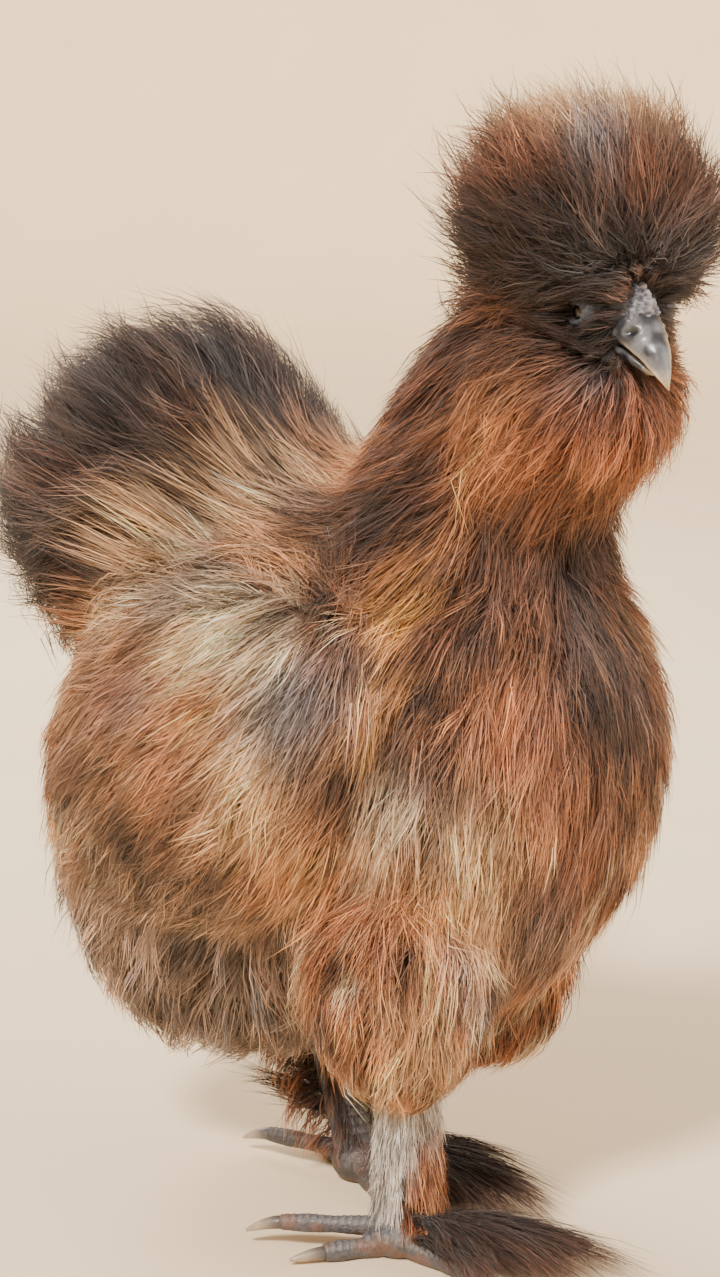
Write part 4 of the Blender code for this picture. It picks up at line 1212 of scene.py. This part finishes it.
def tufted(lines, coat, draw):
    """The guides drawn together towards their tips, in tufts about some of them, and their tones.

    Each tuft has a tone of its own, and painted shade darkens it from its middle out, towards the gaps
    between tufts.
    """
    leads = draw.choice(len(lines), max(len(lines) // coat["tuft"], 1), replace=False)
    tree = KDTree(len(leads))
    for index, lead in enumerate(leads):
        tree.insert(lines[lead, 2], index)
    tree.balance()
    found = [tree.find(place)[1:] for place in lines[:, 2]]
    mine, away = np.array(found).T
    mine = mine.astype(int)
    nearest = leads[mine]
    tones = np.exp(draw.normal(0, 0.20, len(leads)))[mine]
    # Painted shade: strands far from their tuft's middle are darker, as in the shade between tufts.
    tones *= 1.22 - 0.42 * np.minimum(away / np.median(away), 1.8) / 1.8
    pull = coat["gather"] * draw.uniform(0.5, 1.2, (len(lines), 1)) * np.linspace(0, 1, KNOTS) ** 1.5
    return lines + (lines[nearest] - lines) * pull[..., None], tones


def held(lines, slack):
    """The guides, what passes the plumage's form drawn back to within slack of it."""
    made = lines.copy()
    for row, knot in np.ndindex(lines.shape[:2]):
        place = Vector(lines[row, knot])
        spot, normal, _, away = PLUMAGE_TREE.find_nearest(place)
        if (place - spot).dot(normal) > 0:
            made[row, knot] = spot + (place - spot) * (slack[row] / (slack[row] + away))
    return made


def drift(draw, size, usual):
    """Random offsets of that usual size, none more than twice it."""
    return np.clip(draw.normal(0, usual, size), -2 * usual, 2 * usual)


def along_guides(values, share):
    """The guides' values at each strand's share of the length, past the end in a straight line."""
    step = np.clip(np.floor(share * (KNOTS - 1)).astype(int), 0, KNOTS - 2)
    rest = (share * (KNOTS - 1) - step)[..., None]
    row = np.arange(len(values))[:, None, None]
    return values[row, step] * (1 - rest) + values[row, step + 1] * rest


def strands_of(lines, outs, coat, draw):
    """Each feather's strands: where they run, which way they are broad, their widths."""
    feathers = len(lines)
    size = (feathers, coat["strands"])
    ways = unit(np.gradient(lines, axis=1))
    across = unit(np.cross(ways, outs))
    raised = np.cross(across, ways)
    wild = draw.random(size) < coat["wild"]
    finish = draw.uniform(*coat["ends"], size) * draw.uniform(*coat["uneven"], (feathers, 1))
    finish -= SHORTER_BY * draw.random(size) ** 2.5
    finish += wild * draw.uniform(0.0, coat["stray"], size)
    begin = np.maximum(finish - draw.uniform(*STRAND_LENGTHS, size), 0.0)
    share = begin[..., None] + (finish - begin)[..., None] * STRAND_SHARES
    middle = along_guides(lines, share)
    aside, up = along_guides(across, share), along_guides(raised, share)
    fan = coat["fan"] * draw.uniform(0.45, 1.35, (feathers, 1))
    spread = (draw.uniform(-1, 1, size) * fan)[..., None] * (0.12 + 1.45 * share - 0.75 * share**2)
    lift = draw.uniform(-0.7, 1.0, size)[..., None] * coat["fan"] * 0.7 * share
    lift += (WILD_LIFT * wild)[..., None] * share
    bow = 4 * STRAND_SHARES * (1 - STRAND_SHARES)
    for offset in (spread, lift):
        offset += drift(draw, size, coat["curl"])[..., None] * STRAND_SHARES**2
        offset += drift(draw, size, coat["curl"] * 0.35)[..., None] * bow
    places = middle + aside * spread[..., None] + up * lift[..., None]
    roll = draw.normal(0, 0.75, size)[..., None, None]
    broad = aside * np.cos(roll) + up * np.sin(roll)
    wide = coat["width"] * draw.uniform(0.7, 1.3, size)
    return places, broad, wide, share


def unwrap(form, places):
    """Places on an unwrap of the body: the turn round the form's axis and the way along it."""
    upright = form in ("neck", "crest", "beard", "face") or form.startswith(("thigh", "shank", "plume"))
    centre = places.mean(axis=0)
    x, y, z = (places - centre).T
    turn = np.arctan2(x, y if upright else z) / (2 * math.pi) + 0.5
    along = z if upright else y
    along = (along - along.min()) / max(np.ptp(along), 1e-6)
    return np.column_stack((turn, along)) * 0.98 + 0.01


def ribbon_mesh(name, places, broad, wide, colours, patches):
    """Strands as thin ribbons that end in a point, with their colours and their bake patches."""
    count = len(places)
    half = broad[:, :2] * (wide[:, None] * STRAND_WIDTHS / 2)[..., None]
    left, right = places[:, :2] - half, places[:, :2] + half
    verts = np.concatenate((np.stack((left, right), axis=2).reshape(count, 4, 3), places[:, 2:]), axis=1)
    tints = np.repeat(colours, (2, 2, 1), axis=1)
    loops = (np.arange(count)[:, None] * 5 + (0, 1, 3, 2, 2, 3, 4)).ravel()
    starts = (np.arange(count)[:, None] * 7 + (0, 4)).ravel()
    mesh = bpy.data.meshes.new(name)
    mesh.vertices.add(count * 5)
    mesh.vertices.foreach_set("co", verts.astype(np.float32).ravel())
    mesh.loops.add(len(loops))
    mesh.loops.foreach_set("vertex_index", loops.astype(np.int32))
    mesh.polygons.add(count * 2)
    mesh.polygons.foreach_set("loop_start", starts.astype(np.int32))
    mesh.update(calc_edges=True)
    set_tint(mesh, tints.reshape(-1, 3))
    layer = mesh.uv_layers.new(name="OFBake")
    corner = np.array(((0, 0), (1, 0), (0, 0.5), (1, 0.5), (0.5, 1))) - 0.5
    flat = (patches[:, None] + corner * UV_PATCH).reshape(-1, 2)[loops]
    layer.uv.foreach_set("vector", flat.astype(np.float32).ravel())
    return mesh


def clear_of_face(places):
    """Which strands keep out of the room about the beak and the comb and before the eyes."""
    between = (places[:, 1:] + places[:, :-1]) / 2
    dense = np.concatenate((places, between), axis=1)
    local = to_head(dense.reshape(-1, 3)).reshape(dense.shape)
    free = lengths((local - FREE_ROOM[0]) / FREE_ROOM[1]) > 1
    for side in SIDES.values():
        way = np.array(mirrored(SIGHT_WAY, side).normalized())
        spoke = local - np.array(mirrored(EYE_PLACE, side))
        along = spoke @ way
        away = lengths(spoke - along[..., None] * way)
        free &= (along < 0) | (along > SIGHT_LENGTH) | (away > SIGHT_RADIUS + SIGHT_WIDENS * along)
    return free.all(axis=1)


def draw_for(name):
    """The random draws of one piece."""
    return np.random.default_rng([ord(letter) for letter in name])


def own_faces(name, form):
    """The body's faces that a coat grows on."""
    x, y, z = BODY.corners.mean(axis=1).T
    parts = {
        "crest_coat_right": x < CREST_PARTING,
        "crest_coat_left": x >= CREST_PARTING,
        "breast_coat": y < BREAST_END,
        "back_coat": (y >= BREAST_END) & (z > BELLY_TOP),
        "belly_coat": (y >= BREAST_END) & (z <= BELLY_TOP),
    }
    return np.flatnonzero((BODY.owners == OWNERS.index(form)) & parts.get(name, True))


def add_coat(name, form, coat):
    """One piece of the plumage."""
    draw = draw_for(name)
    lines, outs, shares, tones = guides_of(coat, own_faces(name, form), draw)
    dress(name, form, coat, draw, lines, outs, tint_shares(lines[:, 3], shares), tones)


def feather_tints(layers, coat, draw):
    """The markings, with some feathers darker and some paler than those round them."""
    chance = draw.random(layers.shape[1])
    dark = coat["streaks"] * blend(0.30, 0.0, chance)[:, None]
    pale = coat["streaks"] * blend(0.72, 1.0, chance)[:, None]
    for layer, (darker, paler) in zip(layers, ODD_FEATHERS):
        layer += (COLOURS["dark"] - layer) * dark * darker
        layer += layer * 1.1 * pale * paler
    return np.clip(layers, 0.001, 0.9)


def dress(name, form, coat, draw, lines, outs, tints, tones=1.0):
    """Grows the strands on the guides and makes them a piece."""
    places, broad, wide, share = strands_of(lines, outs, coat, draw)
    layers = [markings(lines[:, knot], tints)[layer] for layer, knot in enumerate(COLOUR_KNOTS)]
    layers = feather_tints(np.array(layers), coat, draw)
    by_feather = FEATHER_SHADES * draw.standard_normal(len(lines))[:, None]
    shade = 1 + by_feather + STRAND_SHADES * draw.standard_normal(share.shape[:2])
    shade = (np.reshape(tones, (-1, 1)) * np.clip(shade, 0.45, 1.7))[..., None, None]
    low = blend(0.05, 0.60, share)[..., None]
    high = blend(0.50, 0.95, share)[..., None]
    root, middle, tip = (layer[:, None, None, :] for layer in layers)
    colours = (root * (1 - low) + middle * low) * (1 - high) + tip * high
    colours = np.clip(colours * shade, 0.001, 0.95)
    patches = np.repeat(unwrap(form, lines[:, 0]), coat["strands"], axis=0)
    places, broad, colours = (values.reshape(-1, 3, 3) for values in (places, broad, colours))
    kept = clear_of_face(places) & (places[..., 2] > OFF_THE_FLOOR).all(axis=1)
    strands = (values[kept] for values in (places, broad, wide.ravel(), colours, patches))
    add_piece(ribbon_mesh(name, *strands), PLUMAGE, [])


# What a coat is like unless it says otherwise: how its feathers rise and sway, how deep the lower
# ones lie, how many a tuft gathers and how far, how loose they are past the plumage's form, where
# their strands end as shares of their length, how many strands are wild and stray, how far they
# curl, and how strongly odd feathers differ.
USUAL_COAT = dict(
    lifts=LYING, sway=0.25, depth=0.60, tuft=14, gather=0.42, slack=0.002,
    ends=(0.78, 1.04), uneven=(0.90, 1.03), wild=0.10, stray=0.10, curl=0.0014, streaks=1.0,
)


def coat_of(feathers, strands, length, width, fan, **others):
    """A coat's numbers: feathers, strands on each, length along the body, width and fan."""
    own = dict(feathers=feathers, strands=strands, length=length, width=width, fan=fan)
    return {**USUAL_COAT, **own, **others}


CREST = dict(
    lifts=SPIKED, sway=0.50, depth=0.70, tuft=9, gather=0.46, slack=0.008,
    ends=(0.40, 1.24), uneven=(0.72, 1.16), wild=0.36, stray=0.26, curl=0.0020,
)
BEARD = dict(lifts=FANNED, ends=(0.6, 1.06), gather=0.26)
TAIL = dict(lifts=FANNED, ends=(0.60, 1.08), wild=0.24, stray=0.08, curl=0.0026, slack=0.004)
COATS = {
    "crest_coat_right": ("crest", coat_of(2700, 22, 0.011, 0.00024, 0.0030, **CREST)),
    "crest_coat_left": ("crest", coat_of(2200, 20, 0.011, 0.00025, 0.0030, **CREST)),
    "face_coat": ("face", coat_of(1300, 14, 0.009, 0.00020, 0.0014, curl=0.0007, gather=0.2)),
    "beard_coat": ("beard", coat_of(2200, 18, 0.017, 0.00024, 0.0028, **BEARD)),
    "neck_coat": ("neck", coat_of(2500, 21, 0.036, 0.00026, 0.0038)),
    "breast_coat": ("torso", coat_of(2700, 22, 0.036, 0.00027, 0.0040)),
    "back_coat": ("torso", coat_of(1600, 20, 0.036, 0.00028, 0.0040)),
    "belly_coat": ("torso", coat_of(1100, 16, 0.036, 0.00030, 0.0042)),
    "tail_coat": ("tail", coat_of(2400, 22, 0.032, 0.00026, 0.0040, **TAIL)),
    "wing_coat_right": ("wing_right", coat_of(2500, 22, 0.034, 0.00026, 0.0040)),
    "wing_coat_left": ("wing_left", coat_of(1200, 16, 0.034, 0.00030, 0.0040)),
    "thigh_coat_right": ("thigh_right", coat_of(800, 18, 0.023, 0.00026, 0.0032)),
    "thigh_coat_left": ("thigh_left", coat_of(500, 14, 0.023, 0.00030, 0.0032)),
}
# The coats of shanks and feet, whose guides have lengths of their own.
SHANK_DOWN = {
    "right": coat_of(700, 16, 0.0, 0.00020, 0.0016, curl=0.0009, wild=0.2, streaks=0.4),
    "left": coat_of(420, 14, 0.0, 0.00024, 0.0024, wild=0.2, streaks=0.4),
}
LOOSE = dict(ends=(0.5, 1.05), wild=0.15, streaks=0.3)
HOCK_WISPS = coat_of(16, 60, 0.0, 0.00022, 0.0036, curl=0.0022, **LOOSE)
PLUMES = coat_of(30, 190, 0.0, 0.00024, 0.0046, curl=0.0016, **LOOSE)
HOCK_SEED = 5
# At each knot, how far a shank's down has gone outward and downward, and how far the foot's
# feathers have gone along and how high they are, as shares of the whole.
DOWN_BEND = ((0.0, 0.0), (0.65, 0.22), (0.95, 0.48), (1.05, 0.75), (1.0, 1.0))
PLUME_BEND = ((0.0, 0.5), (0.25, 1.0), (0.5, 0.95), (0.75, 0.72), (1.0, 0.36))
# The shanks' down: how far from the shank's middle it grows, its length and how far it stands out,
# each with what it gains up the shank and where it is loose, and how high above the floor it ends.
DOWN_ROOT = 0.0055
DOWN_LENGTH = (0.009, 0.005, 0.005)
DOWN_STAND = (0.07, 0.10, 0.50)
DOWN_CLEAR = 0.004
# The feet's feathers: the way they point in degrees, where the longest do, the longest's length,
# how much shorter the outermost are, how much the odd ones, how high they rise and how they curve.
PLUME_TURNS = (-50, 16)
PLUME_MIDDLE = -6
PLUME_LENGTH = 0.086
PLUME_OUTER_SHORTER = 0.036
PLUME_ODD_SHORTER = 0.020
PLUME_HEIGHT = 0.0125
PLUME_CURVE = 14
# The far hock's wisps: where they grow, the way they point in degrees, their length, their height
# and how far they rise.
HOCK_ROOT = (0.002, 0.010, 0.0)
HOCK_TURNS = (-12, 34)
HOCK_LENGTHS = (0.026, 0.046)
HOCK_HEIGHTS = (0.012, 0.036)
HOCK_RISES = (0.000, 0.012)


def gaining(numbers, up, loose):
    """A size of the shanks' down, with what it gains up the shank and where it is loose."""
    least, by_height, by_looseness = numbers
    return least + by_height * up + by_looseness * loose


def shank_guides(side, coat, draw):
    """Down on a shank, short in front and longest low on its outer and back side."""
    foot, hock = np.array(FOOT_AT[side] + ANKLE), np.array(FOOT_AT[side] + HOCK_OFFSET[side])
    count = coat["feathers"]
    up = draw.uniform(0.0, 1.0, (count, 1)) ** 0.8
    angle = draw.uniform(-2.6, 2.6, (count, 1))
    out = np.hstack((SIDES[side] * np.cos(angle), np.sin(angle), 0 * angle))
    root = foot + (hock - foot) * up + out * DOWN_ROOT
    if side == "right":
        loose = blend(-0.2, 0.8, out @ np.array(direction(side)))[:, None] * (1 - up)
    else:
        loose = 0.3 + 0.7 * blend(-0.4, 0.8, out @ np.array((-0.7, 0.7, 0)))[:, None]
    reach = gaining(DOWN_LENGTH, up, loose) * draw.uniform(0.7, 1.3, (count, 1))
    reach = np.minimum(reach, root[:, 2:] - DOWN_CLEAR)
    stand = gaining(DOWN_STAND, up, loose)
    lines = []
    for far, low in DOWN_BEND:
        lines.append(root + (out * far * stand - (0, 0, low)) * reach)
    outs = np.repeat(out[:, None], KNOTS, axis=1)
    return np.stack(lines, axis=1), outs, loose[:, 0]


def plume_guides(side, draw):
    """The foot's long feathers, laid over its front toes and outward."""
    lines = []
    for _ in range(PLUMES["feathers"]):
        turn = draw.uniform(*PLUME_TURNS)
        outer = PLUME_OUTER_SHORTER * abs(turn - PLUME_MIDDLE) / (PLUME_MIDDLE - PLUME_TURNS[0])
        length = PLUME_LENGTH - outer - PLUME_ODD_SHORTER * draw.random()
        height = PLUME_HEIGHT * draw.uniform(0.6, 1.15)
        line = []
        for share, rise in PLUME_BEND:
            bend = turn + PLUME_CURVE * share * share * SIDES[side]
            spot = FOOT_AT[side] + direction(side, bend) * length * share
            line.append(spot + Vector((0, 0, height * rise)))
        lines.append(line)
    return np.array(lines)


def hock_guides(draw):
    """Long dark wisps behind the far shank, standing out backward and up."""
    start = np.array(FOOT_AT["left"]) + HOCK_ROOT
    lines = []
    shares = np.linspace(0, 1, KNOTS)
    for _ in range(HOCK_WISPS["feathers"]):
        turn = math.radians(draw.uniform(*HOCK_TURNS))
        back = np.array((-math.sin(turn), math.cos(turn), 0))
        length = draw.uniform(*HOCK_LENGTHS)
        low = draw.uniform(*HOCK_HEIGHTS)
        rise = draw.uniform(*HOCK_RISES)
        heights = [(0, 0, low + rise * math.sin(1.6 * share)) for share in shares]
        lines.append([start + back * length * s + height for s, height in zip(shares, heights)])
    return np.array(lines)


def dress_dark(name, coat, draw, lines):
    """A piece of long dark feathers whose strands fan out level."""
    outs = np.tile((0.0, 0.0, 1.0), (len(lines), KNOTS, 1))
    dress(name, "plume", coat, draw, lines, outs, {"plume": np.ones(len(lines))})


def add_leg_coats():
    """Down on the shanks, white and grey on the near one and dark on the far one by painted shadow, and
    the feet's long feathers.
    """
    for side in SIDES:
        name = f"shank_coat_{side}"
        draw = draw_for(name)
        lines, outs, loose = shank_guides(side, SHANK_DOWN[side], draw)
        if side == "right":
            rust, rest = blend(0.15, 0.5, loose), "down"
        else:
            # Painted shadow: the far shank's down takes the dark plume tints, as the far leg stands in
            # shade.
            rust, rest = 0.8 * blend(0.5, 0.9, loose), "plume"
        dress(name, "shank", SHANK_DOWN[side], draw, lines, outs, {"shank": rust, rest: 1 - rust})
        name = f"plume_coat_{side}"
        draw = draw_for(name)
        dress_dark(name, PLUMES, draw, plume_guides(side, draw))
    draw = np.random.default_rng(HOCK_SEED)
    dress_dark("hock_coat_left", HOCK_WISPS, draw, hock_guides(draw))


# The stage. The floor is flat out to FLOOR_RADIUS, then curves up into a wall.
FLOOR_RADIUS = 3.2
RIM_RADIUS = 0.8
WALL_TOP = 1.8
FLOOR_SIDES = 72
RIM_STEPS = 10
WORLD_COLOUR = (1.0, 0.97, 0.93, 1)
WORLD_STRENGTH = 0.52
KEY_FROM = (-1.15, -0.50, 1.15)
KEY_ANGLE = math.radians(11)
KEY_STRENGTH = 4.6
KEY_COLOUR = (1.0, 0.96, 0.90)
# The soft lamps: where each hangs, its size, its power and its colour.
LAMPS = {
    "fill": ((0.55, -1.20, 0.60), 1.0, 10, (1.0, 0.98, 0.96)),
    "rim": ((0.35, 1.10, 1.00), 0.8, 16, (1.0, 0.97, 0.93)),
}
LAMPS_FACE = Vector((0.0, 0.0, 0.17))


def add_floor():
    """A pale round floor that curves up at its rim, all round and far off."""
    profile = [(0.02, 0.0), (0.6, 0.0), (1.6, 0.0), (FLOOR_RADIUS, 0.0)]
    for step in range(1, RIM_STEPS + 1):
        angle = math.pi / 2 * step / RIM_STEPS
        out, up = RIM_RADIUS * math.sin(angle), RIM_RADIUS - RIM_RADIUS * math.cos(angle)
        profile.append((FLOOR_RADIUS + out, up))
    profile.append((FLOOR_RADIUS + RIM_RADIUS, WALL_TOP))
    bm = bmesh.new()
    rows = []
    for radius, height in profile:
        ring = ring_round(Z * height, X, Y, radius, radius, FLOOR_SIDES)
        rows.append([bm.verts.new(point) for point in ring])
    bm.faces.new(rows[0])
    for row, after in zip(rows, rows[1:]):
        for index in range(FLOOR_SIDES):
            follower = (index + 1) % FLOOR_SIDES
            bm.faces.new((row[index], after[index], after[follower], row[follower]))
    mesh = mesh_of("pale_floor", bm)
    mesh.materials.append(stage_material())
    mesh.shade_smooth()
    placed("pale_floor", mesh)


def add_light(name, kind, way, energy, colour):
    """A light that shines that way."""
    data = bpy.data.lights.new(name, kind)
    data.energy = energy
    data.color = colour
    lamp = placed(name, data)
    lamp.rotation_euler = way.to_track_quat("-Z", "Y").to_euler()
    return lamp


def add_lights():
    """The sky's even light, a key with soft edges from the hen's right, a fill and a rim."""
    world = bpy.context.scene.world or bpy.data.worlds.new("world")
    bpy.context.scene.world = world
    world.use_nodes = True
    sky = world.node_tree.nodes["Background"].inputs
    sky["Color"].default_value = WORLD_COLOUR
    sky["Strength"].default_value = WORLD_STRENGTH
    key = add_light("key", "SUN", -Vector(KEY_FROM), KEY_STRENGTH, KEY_COLOUR)
    key.data.angle = KEY_ANGLE
    for name, (place, size, power, colour) in LAMPS.items():
        lamp = add_light(name, "AREA", LAMPS_FACE - Vector(place), power, colour)
        lamp.data.size = size
        lamp.location = place


add_camera()
add_floor()
add_lights()
add_skin()
add_beak()
add_eyes()
add_claws()
for name, (form, coat) in COATS.items():
    add_coat(name, form, coat)
add_leg_coats()
